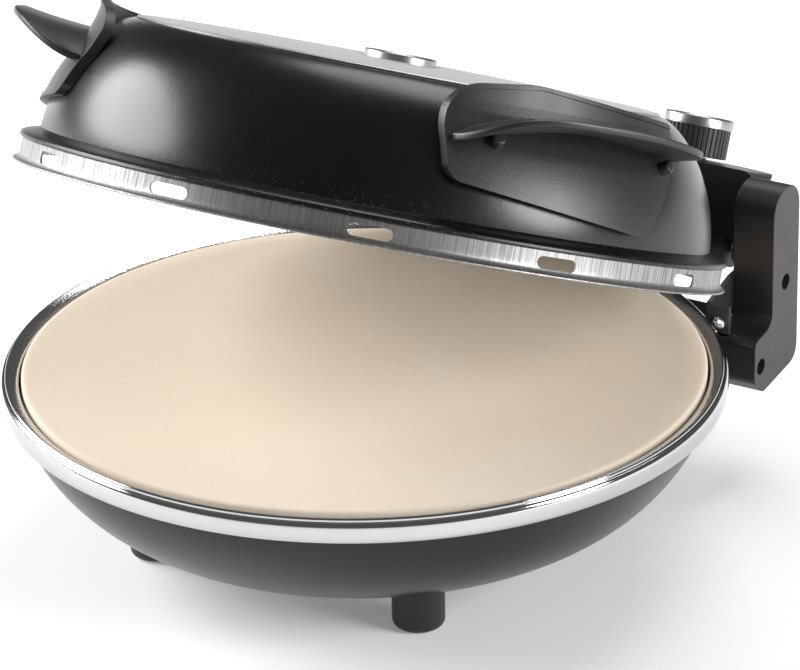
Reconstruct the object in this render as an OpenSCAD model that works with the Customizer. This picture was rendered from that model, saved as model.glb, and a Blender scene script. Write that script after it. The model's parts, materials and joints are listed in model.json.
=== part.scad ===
// Electric pizza maker: a round baking stone in a black bowl with a polished rim, under a
// hinged dome lid. Both heating elements face the stone. The lid turns between two boot-shaped
// arms at the back, and its rear housing carries the timer.
// The x axis runs along the hinge, -y is the front and z = 0 is the table.
// The lid's parts are drawn closed, then turned about the hinge by lid_open.

/* [Rim and sheet] */
// Outside diameter of the polished rim
rim_d = 340.6; // [330:0.2:356]
// Height of the rim's outer edge above the table
rim_h = 86; // [80:1:96]
// Height of the rim's outer band
band_h = 10; // [8:0.5:14]
// Thickness of the pressed steel sheet
sheet = 1; // [0.8:0.1:1.2]
// Clearance between pieces that move past each other
gap = 0.3; // [0.2:0.05:0.4]

/* [Baking stone] */
// Diameter of the stone
stone_d = 320.8; // [316:0.2:321.4]
// Thickness of the stone
stone_t = 10.5; // [8:0.5:11]
// Height of the stone's top above the rim's outer edge
stone_rise = 1; // [0:0.1:1.5]
// Width of the ledge that carries the stone
ledge_w = 9; // [6:0.5:14]

/* [Bowl and feet] */
// Inset of the bowl's mouth from the rim's outside
bowl_inset = 6.5; // [6:0.25:9]
// Diameter of the bowl's flat floor
bowl_floor_d = 154; // [120:1:170]
// Height of the bowl's floor above the table
bowl_floor_h = 17.7; // [14:0.1:24]
// Diameter of a foot
foot_d = 24.4; // [20:0.2:30]
// Diameter of the circle that the feet stand on
foot_circle_d = 204.4; // [180:0.2:220]
// Radius of a foot's lower edge
foot_edge_r = 3.6; // [2:0.2:5]

/* [Heating elements] */
// Diameter of the tubular element
element_d = 6.5; // [6:0.1:8]
// Diameter of the lower element's loop
lower_loop_d = 190; // [150:1:230]
// Diameter of the upper element's loop
upper_loop_d = 210; // [150:1:230]
// Distance from the stone's underside to the lower element's axis
lower_element_drop = 14; // [11:0.5:16]
// Height of the upper element's axis above the rim's outer edge
upper_element_rise = 37; // [32:0.5:40]
// Height of the lower reflector's floor above the table
lower_reflector_h = 50; // [44:0.5:54]

/* [Lid] */
// Angle that the lid stands open
lid_open = 22.6; // [0:0.1:60]
// Outside diameter of the lid's steel band
lid_band_d = 328.8; // [326:0.2:329.6]
// Outside diameter of the flared lip under the band
lip_d = 334.6; // [333:0.2:335.4]
// Gap between the closed lid's lip and the rim's outer edge
lip_gap = 2.1; // [2:0.1:3]
// Height of the band from the lip to the dome's flange
lid_band_h = 11.2; // [10:0.2:14]
// Outside diameter of the dome's flange
flange_d = 331.8; // [330.6:0.2:334]
// Diameter of the dome at the foot of its wall
dome_d = 314; // [308:0.5:318]
// Height of the dome's top above the rim's outer edge
dome_h = 76.2; // [72:0.1:84]
// Diameter of the dome's flat top
dome_top_d = 243.6; // [230:0.2:260]
// Number of steam slots round the band
slot_count = 12; // [6:1:16]
// Angle by which the left half's slots are set round from the right half's
slot_shift = 2.8; // [0:0.1:6]
// Length of a steam slot
slot_l = 20; // [14:0.5:24]
// Height of a steam slot
slot_h = 5.6; // [4:0.2:7]
// Diameter of the silver plate on the lid
plate_d = 245.2; // [220:0.2:250]
// Rise of the plate from its edge to its middle
plate_crown = 1.7; // [0.5:0.1:3]

/* [Handles] */
// Angle of each handle from the front
handle_angle = 63.5; // [55:0.5:68]
// Width of a handle's plate along the dome
handle_w = 131.2; // [124:0.2:136]
// Distance of the plate's middle behind the handle's centre line
handle_mid = 3.3; // [1:0.1:5]
// Thickness of a handle's plate
handle_t = 3.4; // [2.6:0.1:4]
// Distance that the dome and the handle's plate stand apart
handle_seat = 0.3; // [0.1:0.05:0.5]
// Radius from the lid's axis to the grip's outer edge
grip_reach = 178.5; // [172:0.5:184]
// Height of the grip's outer edge above the rim's outer edge
grip_rise = 71.2; // [68:0.1:74]
// Thickness of the grip
grip_t = 3.4; // [2.8:0.1:4.2]

/* [Knobs] */
// Diameter of a knob
knob_d = 34; // [28:0.5:36]
// Height of a knob's bright ring
knob_ring_h = 5.2; // [3:0.1:7]
// Height of the timer knob's ribbed body
timer_knob_h = 14.3; // [10:0.1:16]
// Height of the centre knob's ribbed body
centre_knob_h = 6; // [5:0.1:8]
// Number of ribs round a knob
knob_ribs = 40; // [24:1:60]
// Diameter of a knob's spindle
spindle_d = 6; // [5:0.1:6.4]
// Distance of the timer's spindle from the lid's centre plane
timer_x = 67; // [40:1:80]

/* [Hinge] */
// Distance of the hinge from the lid's axis when closed
hinge_y = 168; // [166:0.5:172]
// Height of the hinge above the rim's outer edge
hinge_rise = 19.5; // [18.5:0.5:21.5]
// Diameter of a hinge pin
pin_d = 8; // [6:0.1:9]
// Running clearance round a pin, on the radius
pin_fit = 0.05; // [0.02:0.01:0.1]
// Distance between the two arms' inner faces
arm_span = 229; // [226:0.5:236]
// Thickness of an arm along the hinge
arm_t = 21.5; // [18:0.5:26]
// Depth of an arm from front to back
arm_w = 26.6; // [24:0.2:28]
// Height of an arm's top above the rim's outer edge
arm_top = 57; // [52:0.5:64]
// Thickness of the hinge brackets' plate
bracket_t = 2; // [1.5:0.1:2.4]

/* [Rear housing] */
// Depth of the housing from front to back
housing_w = 50; // [44:0.5:58]
// Height of the housing's top above the rim's outer edge
housing_top = 56; // [50:0.5:58]
// Height of the housing's underside above the rim's outer edge
housing_base = 22.2; // [21.6:0.2:24]
// Wall of the moulded housing
housing_wall = 2; // [1.6:0.1:2.6]
// Radius of the housing's top corners
housing_r = 6; // [4:0.5:9]
// Radius of the housing's rear corners, seen from above
housing_corner_r = 38; // [20:1:44]

/* [Hidden] */
$fn = 96;
eps = 0.01;
touch = 0.05;                     // gap left between fixed pieces that lie against each other
far = 200;                        // reaches right through any piece that is cut

rim_r = rim_d / 2;
stone_r = stone_d / 2;
stone_top = rim_h + stone_rise;
stone_base = stone_top - stone_t;
ledge_z = stone_base - gap;       // top of the rim's ledge
well_r = stone_r + 0.8;           // inside of the rim round the stone
bead_z = rim_h + 1.6;             // top of the rim's bead
bead_r = rim_r - 3;
bowl_r = rim_r - bowl_inset;
bowl_mouth_z = rim_h - band_h;
bowl_lip_z = bowl_mouth_z + 1.6;
reflector_lip_r = well_r - ledge_w;

foot_r = foot_d / 2;
foot_at = foot_circle_d / 2 * [sin(45), cos(45)];
foot_bore_r = 4.6;
screw_r = 2;

element_r = element_d / 2;
lower_element_z = stone_base - lower_element_drop;
upper_element_z = rim_h + upper_element_rise;
loop_open = 18;                   // half angle of a loop's open back
bend_r = 12;                      // radius of the bends from the loop to its tails
bend_overlap = 3;                 // angle by which a bend runs into its neighbours

lip_z = rim_h + lip_gap;
band_top = lip_z + lid_band_h;
band_r = lid_band_d / 2;
flange_r = flange_d / 2;
dome_foot_z = band_top + 5.7;
dome_top_z = rim_h + dome_h;
dome_r = dome_d / 2;
dome_top_r = dome_top_d / 2;
plate_r = plate_d / 2;
plate_z = dome_top_z + sheet;
knob_r = knob_d / 2;
cup_r = knob_r + 1.8;             // pressed cup round the centre knob
centre_ring_z = plate_z + plate_crown - 2;
cup_z = centre_ring_z - centre_knob_h - 2 * gap - sheet;
reflector_top_z = rim_h + 50;

hinge_z = rim_h + hinge_rise;
arm_x = arm_span / 2;
arm_front = hinge_y - 16.5;
arm_back = arm_front + arm_w;
toe_front = arm_front - 17.5;
pin_r = pin_d / 2;
pin_seat = 11.5;                  // length of a pin inside its arm
arm_bolts = [[hinge_y - 3, rim_h + 7.8], [hinge_y - 27.4, rim_h - 27.5]];
arm_recess_r = 3.9;

housing_front = dome_r + 1;
housing_back = hinge_y - 10 + housing_w;
housing_z0 = rim_h + housing_base;
housing_z1 = rim_h + housing_top;
housing_x = arm_x - gap;
timer_y = (housing_front + housing_back) / 2 + 1.5;
timer_base_z = housing_z1 + 1.9;
ear_x = housing_x - housing_wall - 0.8;  // outer face of the lid's hinge ears
ear_r = pin_r + 4.5;

// A bell-shaped curve from [r0, z0] at its foot to [r1, z1] at its crown
function bell(r0, z0, r1, z1, power_r, power_z, n = 14) =
    [for (i = [0:n]) let (t = 90 * i / n)
        [r1 + (r0 - r1) * pow(cos(t), power_r), z0 + (z1 - z0) * pow(sin(t), power_z)]];

function reversed(points) = [for (i = [len(points) - 1:-1:0]) points[i]];

// A closed outline whose corner i is rounded with radius radii[i]
function rounded(points, radii, n = 6) =
    [for (i = [0:len(points) - 1])
        let (c = points[i], a = points[(i + len(points) - 1) % len(points)],
             b = points[(i + 1) % len(points)],
             u = (a - c) / norm(a - c), v = (b - c) / norm(b - c),
             half = acos(u * v) / 2, m = (u + v) / norm(u + v),
             centre = c + m * radii[i] / sin(half),
             p0 = c + u * radii[i] / tan(half), p1 = c + v * radii[i] / tan(half),
             a0 = atan2(p0[1] - centre[1], p0[0] - centre[0]),
             turn = atan2(p1[1] - centre[1], p1[0] - centre[0]) - a0,
             sweep = turn > 180 ? turn - 360 : turn < -180 ? turn + 360 : turn)
        for (k = [0:n]) centre + radii[i] * [cos(a0 + sweep * k / n), sin(a0 + sweep * k / n)]];

// Turns the lid's parts from closed to open about the hinge
module on_lid() {
    translate([0, hinge_y, hinge_z]) rotate([-lid_open, 0, 0])
        translate([0, -hinge_y, -hinge_z]) children();
}

// Copies on the left and on the right of the centre plane
module both_sides() {
    children();
    mirror([1, 0, 0]) children();
}

// A pan head screw with its head's seat at the origin, running down
module pan_screw(length, radius, head_r, head_h) {
    difference() {
        union() {
            translate([0, 0, -length]) cylinder(r = radius, h = length + eps);
            rotate_extrude($fn = 32)
                polygon([[0, 0], [head_r, 0], [head_r, head_h * 0.5],
                         [head_r * 0.8, head_h * 0.85], [head_r * 0.4, head_h], [0, head_h]]);
        }
        for (a = [0, 90]) rotate([0, 0, a])
            translate([-head_r * 0.55, -head_r * 0.12, head_h * 0.5])
                cube([head_r * 1.1, head_r * 0.24, head_h]);
    }
}

// ---------------------------------------------------------------- base

function bowl_curve(inset) = bell(bowl_r - inset, bowl_mouth_z, bowl_floor_d / 2,
                                  bowl_floor_h + inset, 0.735, 1.465);

module bowl_solid() {
    rotate_extrude($fn = 144)
        polygon(concat([[0, bowl_lip_z], [bowl_r, bowl_lip_z]], bowl_curve(0),
                       [[0, bowl_floor_h]]));
}

module base_bowl() color([0.07, 0.07, 0.07])
    difference() {
        rotate_extrude($fn = 144)
            polygon(concat([[bowl_r - sheet, bowl_lip_z + sheet], [rim_r - 2.4, bowl_lip_z + sheet],
                            [rim_r - 2.4, bowl_lip_z], [bowl_r, bowl_lip_z]], bowl_curve(0),
                           [[0, bowl_floor_h], [0, bowl_floor_h + sheet]],
                           reversed(bowl_curve(sheet))));
        for (a = [45:90:315]) rotate([0, 0, a])
            translate([foot_circle_d / 2, 0, 0]) cylinder(r = screw_r + 0.2, h = bowl_floor_h + 12);
        both_sides() spacer_axis() translate([0, 0, -40]) cylinder(r = screw_r + 0.2, h = 40);
    }

module trim_ring() color([0.8, 0.8, 0.8]) {
    rotate_extrude($fn = 180)
        polygon([[rim_r - 5.8, bowl_mouth_z], [rim_r - 1, bowl_mouth_z],
                 [rim_r - 0.2, bowl_mouth_z + 1.2], [rim_r, rim_h - band_h * 0.5],
                 [rim_r - 0.4, rim_h - 0.9], [rim_r - 1.3, rim_h], [rim_r - 2.1, rim_h - 0.5],
                 [bead_r + 0.7, bead_z - 0.6], [bead_r, bead_z], [bead_r - 0.9, bead_z - 0.3],
                 [well_r + 1.1, rim_h - 0.9], [well_r, rim_h - 2], [well_r, ledge_z],
                 [reflector_lip_r, ledge_z], [reflector_lip_r, ledge_z - sheet],
                 [well_r + sheet, ledge_z - sheet], [well_r + sheet, rim_h - 2.9],
                 [bead_r, rim_h + 0.2], [rim_r - 1.8, rim_h - 1.8], [rim_r - 1.4, rim_h - 5],
                 [rim_r - 1.4, bowl_mouth_z + sheet], [rim_r - 5.8, bowl_mouth_z + sheet]]);
    both_sides() difference() {
        union() {
            translate([lug_x0, lug_y - 20, bowl_mouth_z])
                cube([lug_w, 20 + sheet, sheet]);
            translate([lug_x0, lug_y, bowl_mouth_z])
                cube([lug_w, sheet + 0.5, lug_screw_z + 5 - bowl_mouth_z]);
        }
        translate([0, 0, bowl_mouth_z - 1]) cylinder(r = rim_r - 1.2, h = band_h + 20, $fn = 180);
        lug_axis() translate([0, 0, -10]) cylinder(r = screw_r + 0.2, h = 20);
    }
}

lug_x0 = arm_x + 2 * touch;
lug_w = 10;
lug_y = sqrt(pow(rim_r, 2) - pow(arm_x - bracket_t, 2)) + bracket_t + gap;
lug_screw_z = rim_h - 3;

// Axis of the screw that holds the hinge bracket to the rim's lug, pointing forwards
module lug_axis() {
    translate([lug_x0 + lug_w / 2, lug_y - bracket_t, lug_screw_z]) rotate([90, 0, 0]) children();
}

module baking_stone() color([0.87, 0.8, 0.68])
    rotate_extrude($fn = 180)
        polygon([[0, stone_base], [stone_r - 1, stone_base], [stone_r, stone_base + 1],
                 [stone_r, stone_top - 1.2], [stone_r - 0.4, stone_top - 0.4],
                 [stone_r - 1.2, stone_top], [0, stone_top]]);

function reflector_curve(inset) = bell(reflector_lip_r - inset, ledge_z - sheet - 2,
                                       reflector_lip_r - 50, lower_reflector_h + inset, 0.8, 0.9, 8);

module lower_reflector() color([0.72, 0.73, 0.74])
    difference() {
        rotate_extrude($fn = 120)
            polygon(concat([[reflector_lip_r - sheet, ledge_z - sheet], [well_r, ledge_z - sheet],
                            [well_r, ledge_z - 2 * sheet], [reflector_lip_r, ledge_z - 2 * sheet]],
                           reflector_curve(0),
                           [[0, lower_reflector_h], [0, lower_reflector_h + sheet]],
                           reversed(reflector_curve(sheet))));
        along_tails(lower_loop_d, lower_element_z, bush_r + touch, tail_y(lower_loop_d), 90);
    }

bush_r = element_r + 2.6;
lower_bush_l = 19;
upper_bush_l = 28;

// The tails' distance from the centre plane, and where they begin behind the loop's centre
function tail_x(loop_d) = (loop_d / 2 + bend_r) * sin(loop_open) - bend_r;
function tail_y(loop_d) = (loop_d / 2 + bend_r) * cos(loop_open);

// Places a cylinder along the tails, from y0 behind the lid's axis
module along_tails(loop_d, z, radius, y0, l) {
    both_sides() translate([tail_x(loop_d), y0, z]) rotate([-90, 0, 0]) cylinder(r = radius, h = l);
}

// A tubular element: an open loop, two bends and two straight tails at the back
module element(loop_d, z, l) {
    translate([0, 0, z]) rotate([0, 0, 90 + loop_open])
        rotate_extrude(angle = 360 - 2 * loop_open, $fn = 120)
            translate([loop_d / 2, 0]) circle(r = element_r, $fn = 32);
    both_sides() translate([tail_x(loop_d) + bend_r, tail_y(loop_d), z])
        rotate([0, 0, 180 - bend_overlap])
            rotate_extrude(angle = 90 - loop_open + 2 * bend_overlap, $fn = 48)
                translate([bend_r, 0]) circle(r = element_r - 0.1, $fn = 32);
    along_tails(loop_d, z, element_r, tail_y(loop_d), l);
}

lower_tail_l = reflector_lip_r - tail_y(lower_loop_d) + 1;
upper_tail_l = dome_r - tail_y(upper_loop_d) - 8;

module lower_element() color([0.35, 0.33, 0.32]) element(lower_loop_d, lower_element_z, lower_tail_l);

module lower_element_posts() color([0.6, 0.6, 0.6])
    for (a = [-90, 30, 150]) rotate([0, 0, a]) translate([lower_loop_d / 2, 0, 0]) {
        translate([0, 0, lower_reflector_h + sheet])
            cylinder(r = 2.4, h = lower_element_z - element_r - touch - lower_reflector_h - sheet);
        for (s = [-1, 1]) translate([s * (element_r + touch) - (s < 0 ? sheet : 0), -3,
                                     lower_element_z - element_r - touch - sheet])
            cube([sheet, 6, element_r + sheet]);
        translate([-element_r - sheet, -3, lower_element_z - element_r - touch - sheet])
            cube([2 * (element_r + sheet), 6, sheet]);
    }

module bushes(loop_d, z, y0, l, bore) {
    both_sides() translate([tail_x(loop_d), y0, z]) rotate([-90, 0, 0])
        difference() {
            union() {
                cylinder(r = bush_r, h = l);
                cylinder(r = bush_r + 1.6, h = 3);
            }
            translate([0, 0, -1]) cylinder(r = bore, h = l + 2);
        }
}

// Where a tail's bush meets the reflector's wall
function bush_y(wall_r, loop_d) = sqrt(pow(wall_r, 2) - pow(tail_x(loop_d) + bush_r, 2)) - 3.4;

module lower_insulators() color([0.92, 0.9, 0.84])
    bushes(lower_loop_d, lower_element_z, bush_y(reflector_lip_r - 16.5, lower_loop_d), lower_bush_l,
           element_r + touch);

module foot(sx, sy) color([0.06, 0.06, 0.06])
    difference() {
        translate([sx * foot_at[0], sy * foot_at[1], 0]) rotate_extrude($fn = 72)
            polygon(concat([[foot_bore_r, 0], [foot_r - foot_edge_r, 0]],
                           [for (t = [15:15:75]) [foot_r - foot_edge_r + foot_edge_r * sin(t),
                                                  foot_edge_r - foot_edge_r * cos(t)]],
                           [[foot_r, foot_edge_r], [foot_r, bowl_floor_h + 10],
                            [screw_r + 0.1, bowl_floor_h + 10], [screw_r + 0.1, foot_bore_z],
                            [foot_bore_r, foot_bore_z]]));
        bowl_solid();
    }

foot_bore_z = bowl_floor_h - 7;

module foot_front_left() foot(-1, -1);
module foot_front_right() foot(1, -1);
module foot_rear_left() foot(-1, 1);
module foot_rear_right() foot(1, 1);

module foot_screws() color([0.75, 0.75, 0.75])
    for (a = [45:90:315]) rotate([0, 0, a])
        translate([foot_circle_d / 2, 0, foot_bore_z - touch]) mirror([0, 0, 1])
            pan_screw(bowl_floor_h + 9 - foot_bore_z, screw_r, 4.2, 2.6);

// ---------------------------------------------------------------- hinge

spacer_x = 50;
spacer_l = 24;
spacer_z = rim_h - 24;
web_y = rim_r - 6.3;
web_ear_y = max(hinge_y + 2, web_y + bracket_t + 4);  // back edge of the bracket's ears
web_z = [rim_h - 36, rim_h - 13];

// Axis of a screw from the bracket's web into the bowl, pointing backwards
module spacer_axis() {
    translate([spacer_x, web_y + bracket_t, spacer_z]) rotate([-90, 0, 0]) children();
}

// The steel bracket behind the bowl: a web, two ears beside the arms and two front flanges
module hinge_bracket() color([0.16, 0.16, 0.16])
    difference() {
        union() {
            translate([-arm_x, web_y, web_z[0]])
                cube([2 * arm_x, bracket_t, web_z[1] - web_z[0]]);
            both_sides() {
                translate([arm_x - bracket_t, 0, 0]) rotate([90, 0, 90])
                    linear_extrude(bracket_t)
                        polygon(rounded([[lug_y - bracket_t, rim_h + 6], [arm_front - 2, rim_h + 12],
                                         [web_ear_y, rim_h + 14], [web_ear_y, rim_h - 36],
                                         [toe_front + 2, rim_h - 36], [toe_front + 2, rim_h - 14],
                                         [lug_y - bracket_t, rim_h - 9]],
                                        [1, 6, 6, 4, 4, 3, 1]));
                translate([arm_x - bracket_t, lug_y - bracket_t, rim_h - 8.4])
                    cube([lug_x0 + lug_w - arm_x + bracket_t, bracket_t, 14]);
            }
        }
        both_sides() {
            for (b = arm_bolts) translate([arm_x - bracket_t - 1, b[0], b[1]]) rotate([0, 90, 0])
                cylinder(r = screw_r + touch, h = bracket_t + 2);
            spacer_axis() translate([0, 0, -5]) cylinder(r = screw_r + 0.2, h = 10);
            lug_axis() translate([0, 0, -10]) cylinder(r = screw_r + 0.2, h = 20);
        }
    }

module bracket_spacers() color([0.7, 0.7, 0.7])
    both_sides() difference() {
        spacer_axis() translate([0, 0, -bracket_t - spacer_l])
            cylinder(r = 5, h = spacer_l - touch);
        spacer_axis() translate([0, 0, -far]) cylinder(r = screw_r + 0.2, h = 2 * far);
        bowl_solid();
    }

module bracket_screws() color([0.75, 0.75, 0.75])
    both_sides() {
        spacer_axis() translate([0, 0, touch]) pan_screw(22, screw_r, 4, 2.6);
        lug_axis() translate([0, 0, touch]) pan_screw(bracket_t + sheet + 4, screw_r, 3.2, 2.4);
        lug_axis() translate([0, 0, -bracket_t - sheet - 0.5 - 3]) difference() {
            cylinder(r = 3.6, h = 3 - touch, $fn = 6);
            translate([0, 0, -1]) cylinder(r = screw_r + touch, h = 6);
        }
    }

arm_outline = rounded([[arm_front, rim_h + arm_top], [arm_back, rim_h + arm_top],
                       [arm_back, rim_h - 36.5], [toe_front + 9, rim_h - 42],
                       [toe_front, rim_h - 34], [toe_front, rim_h - 13],
                       [arm_front, rim_h - 10]],
                      [arm_w * 0.49, arm_w * 0.46, 9, 4, 5, 5, 7]);

// The right arm: a boot-shaped moulding with two recessed screws and the pin's seat
module arm() difference() {
    translate([arm_x, 0, 0]) rotate([90, 0, 90]) linear_extrude(arm_t) polygon(arm_outline);
    for (b = arm_bolts) translate([arm_x, b[0], b[1]]) rotate([0, 90, 0]) {
        translate([0, 0, -1]) cylinder(r = screw_r + 0.1, h = arm_t + 2);
        translate([0, 0, arm_t - 7]) cylinder(r = arm_recess_r, h = 8);
    }
    translate([arm_x - 1, hinge_y, hinge_z]) rotate([0, 90, 0])
        cylinder(r = pin_r + 0.02, h = pin_seat + 1);
}

module arm_right() color([0.1, 0.09, 0.09]) arm();
module arm_left() color([0.1, 0.09, 0.09]) mirror([1, 0, 0]) arm();

module arm_screws() color([0.6, 0.6, 0.6])
    both_sides() for (b = arm_bolts)
        translate([arm_x + arm_t - 7 + touch, b[0], b[1]]) rotate([0, 90, 0])
            pan_screw(arm_t - 7 + bracket_t, screw_r, 3.6, 2.4);

module hinge_pins() color([0.75, 0.75, 0.75])
    both_sides() translate([ear_x - bracket_t - 3, hinge_y, hinge_z]) rotate([0, 90, 0])
        cylinder(r = pin_r, h = arm_x + pin_seat - touch - ear_x + bracket_t + 3);

// ---------------------------------------------------------------- lid

function dome_curve(inset) = bell(dome_r - inset, dome_foot_z, dome_top_r, dome_top_z - inset,
                                  1.243, 1.185);

module lid_dome() color([0.06, 0.06, 0.06]) on_lid()
    difference() {
        rotate_extrude($fn = 180)
            polygon(concat([[flange_r - 4, band_top], [flange_r - 0.8, band_top],
                            [flange_r, band_top + 1], [flange_r - 0.5, band_top + 2.4],
                            [flange_r - 4, band_top + 3.8], [dome_r + 1.6, band_top + 4.8]],
                           dome_curve(0), [[cup_r + 3, dome_top_z], [cup_r + 3, dome_top_z - sheet]],
                           reversed(dome_curve(sheet)),
                           [[dome_r + 0.6, band_top + 3.9], [flange_r - 4.4, band_top + 2.6],
                            [flange_r - 4, band_top + 1.6]]));
        strap_axes() translate([0, 0, -20]) cylinder(r = screw_r + 0.2, h = 40);
        for (side = [-1, 1]) at_handle(side) handle_screw_axes()
            cylinder(r = screw_r + 0.2, h = 14);
    }

// The slots of the band's left half start slot_shift further round than those of its right half
function slot_angle(k) = 360 * k / slot_count - (k > 0 && k <= slot_count / 2 ? 0 : slot_shift);

module lid_band() color([0.75, 0.75, 0.75]) on_lid()
    difference() {
        rotate_extrude($fn = 180)
            polygon([[band_r, band_top - touch], [band_r, lip_z + 4.2], [band_r + 0.5, lip_z + 2.8],
                     [lip_d / 2 - 1.2, lip_z + 1.4], [lip_d / 2 - 0.2, lip_z + 1.1],
                     [lip_d / 2, lip_z + 0.5], [lip_d / 2 - 0.3, lip_z],
                     [lip_d / 2 - 1.5, lip_z + 0.2], [band_r - 0.4, lip_z + 2],
                     [band_r - sheet, lip_z + 4], [band_r - sheet, band_top - touch - sheet],
                     [dome_r - 1, band_top - touch - sheet], [dome_r - 1, band_top - touch]]);
        for (k = [0:slot_count - 1]) rotate([0, 0, slot_angle(k) - 90])
            translate([band_r - 8, 0, (lip_z + band_top) / 2 + 0.4]) rotate([90, 0, 90])
                linear_extrude(16) {
                    square([slot_l - slot_h, slot_h], center = true);
                    for (s = [-1, 1]) translate([s * (slot_l - slot_h) / 2, 0])
                        circle(d = slot_h, $fn = 32);
                }
    }

function plate_point(r, drop) = [r, plate_z + plate_crown * (1 - pow(r / plate_r, 2)) - drop];

module lid_plate() color([0.7, 0.7, 0.69]) on_lid()
    rotate_extrude($fn = 180)
        polygon(concat([[plate_r, dome_top_z], [plate_r, plate_z - 0.4]],
                       [for (r = [plate_r - 1, plate_r - 2, 100, 80, 60, 40, cup_r + sheet])
                           plate_point(r, 0)],
                       [[cup_r, plate_z + plate_crown - 1.2], [cup_r - 0.4, cup_z + sheet],
                        [spindle_d / 2 + 1, cup_z + sheet], [spindle_d / 2 + 1, cup_z],
                        [cup_r + sheet - 0.4, cup_z]],
                       [for (r = [cup_r + sheet, 40, 60, 80, 100, plate_r - 2])
                           plate_point(r, sheet)]));

function inner_curve(inset) = bell(dome_r - 4 - inset, band_top + 3, dome_top_r - 22,
                                   reflector_top_z - inset, 1.1, 1.0, 9);

module upper_reflector() color([0.72, 0.73, 0.74]) on_lid()
    difference() {
        rotate_extrude($fn = 120)
            polygon(concat([[band_r - 2.4, band_top - 2 * sheet - 2 * touch],
                            [band_r - 2.4, band_top - sheet - 2 * touch],
                            [dome_r - 4, band_top - sheet - 2 * touch]],
                           inner_curve(0), [[0, reflector_top_z], [0, reflector_top_z - sheet]],
                           reversed(inner_curve(sheet)),
                           [[dome_r - 4 - sheet, band_top - 2 * sheet - 2 * touch]]));
        along_tails(upper_loop_d, upper_element_z, bush_r + touch, tail_y(upper_loop_d), 90);
    }

module upper_element() color([0.35, 0.33, 0.32]) on_lid()
    element(upper_loop_d, upper_element_z, upper_tail_l);

module upper_element_hangers() color([0.6, 0.6, 0.6]) on_lid()
    for (a = [-90, 30, 150]) rotate([0, 0, a]) translate([upper_loop_d / 2, 0, 0]) {
        translate([-1, 0, upper_element_z + element_r + touch])
            cylinder(r = 2, h = reflector_top_z - sheet - touch - 3.6 - upper_element_z - element_r);
        for (s = [-1, 1]) translate([s * (element_r + touch) - (s < 0 ? sheet : 0), -3,
                                     upper_element_z])
            cube([sheet, 6, element_r + sheet]);
        translate([-element_r - sheet, -3, upper_element_z + element_r + touch])
            cube([2 * (element_r + sheet), 6, sheet]);
    }

module upper_insulators() color([0.92, 0.9, 0.84]) on_lid()
    bushes(upper_loop_d, upper_element_z, bush_y(dome_r - 31, upper_loop_d), upper_bush_l,
           element_r + touch);

// ---------------------------------------------------------------- handles

// Outline of a handle's plate: distance along the dome towards the back, and height
handle_ends = [handle_mid - handle_w / 2, handle_mid + handle_w / 2];
handle_outline = rounded([[handle_ends[0], rim_h + 76.6],
                          [handle_ends[0] + 0.35 * handle_w, rim_h + 82.4],
                          [handle_ends[1] - 3.5, rim_h + 74.8], [handle_ends[1], rim_h + 62.5],
                          [handle_ends[1] - 0.205 * handle_w, rim_h + 24],
                          [handle_ends[0], rim_h + 36.6]],
                         [24, 40, 5, 4, 10, 7]);

// Section of the plate: it follows the dome's wall, then stands up past the shoulder
function handle_section(inset) =
    concat([for (p = dome_curve(0)) if (p[1] < rim_h + 56) [p[0] + inset, p[1]]],
           [[dome_r - 14.4 + inset, rim_h + 61.5], [dome_r - 19.2 + inset, rim_h + 72],
            [dome_r - 22.2 + inset, rim_h + 86]]);

grip_half = handle_w / 2 - 1.9;
grip_root_half = handle_w / 2 - 3.4;
grip_fillet = 3.6;                // drop of the hollow where the grip leaves the plate
grip_root_y = 138;                // distance of the grip's two ends from the lid's axis

// A point inside the plate's thickness, at a distance along the dome and a height
function on_plate(along, z) =
    let (r = lookup(z, [for (p = handle_section(handle_seat + handle_t / 2)) [p[1], p[0]]]))
    [along, sqrt(r * r - along * along), z];

// Grip outline for the angle t, from -90 in front to 90 behind: its outer edge, and the
// heights of its root's top and underside
function fall(t, front, front_power, back, back_power) =
    t < 0 ? front * pow(-sin(t), front_power) : back * pow(sin(t), back_power);
function grip_edge(t) = [handle_mid + grip_half * sign(sin(t)) * pow(abs(sin(t)), 0.645),
                         grip_root_y + (grip_reach - grip_root_y) * cos(t),
                         rim_h + grip_rise - fall(t, 15.4, 3, 6.5, 1.3)];
function grip_root_z(t) = rim_h + grip_rise - 0.5 - fall(t, 14.5, 3.2, 7.4, 2.5);
function grip_under_z(t) = rim_h + grip_rise - 7 - fall(t, 11, 1.45, 5.5, 1.25);

// One cross section of the grip, from its root out along the top and back underneath
function grip_ring(t) =
    let (along = handle_mid + grip_root_half * sin(t), top = on_plate(along, grip_root_z(t)),
         under = on_plate(along, grip_under_z(t)), edge = grip_edge(t),
         span = [edge[0] - top[0], edge[1] - top[1], 0],
         back = span / norm(span) * 1.2)
    [top, top + back * 3.9 - [0, 0, grip_fillet * pow(cos(t), 0.4)], edge - back,
     edge - [0, 0, grip_t * 0.35], edge - back * 0.4 - [0, 0, grip_t * 0.85],
     edge - back * 1.6 - [0, 0, grip_t], under];

grip_steps = 20;
grip_rings = [for (i = [0:grip_steps]) grip_ring(-86 + 172 * i / grip_steps)];

// The grip: a shallow visor over the space for the fingers
module grip() {
    n = len(grip_rings[0]);
    polyhedron(
        points = [for (ring = grip_rings) for (p = ring) p],
        faces = concat([for (i = [0:grip_steps - 1]) for (k = [0:n - 1]) for (h = [0, 1])
                           let (k1 = (k + 1) % n)
                           h == 0 ? [i * n + k, i * n + k1, (i + 1) * n + k]
                                  : [i * n + k1, (i + 1) * n + k1, (i + 1) * n + k]],
                       [for (k = [1:n - 2]) [0, k + 1, k]],
                       [for (k = [1:n - 2]) let (m = grip_steps * n) [m, m + k, m + k + 1]]));
}

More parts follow.
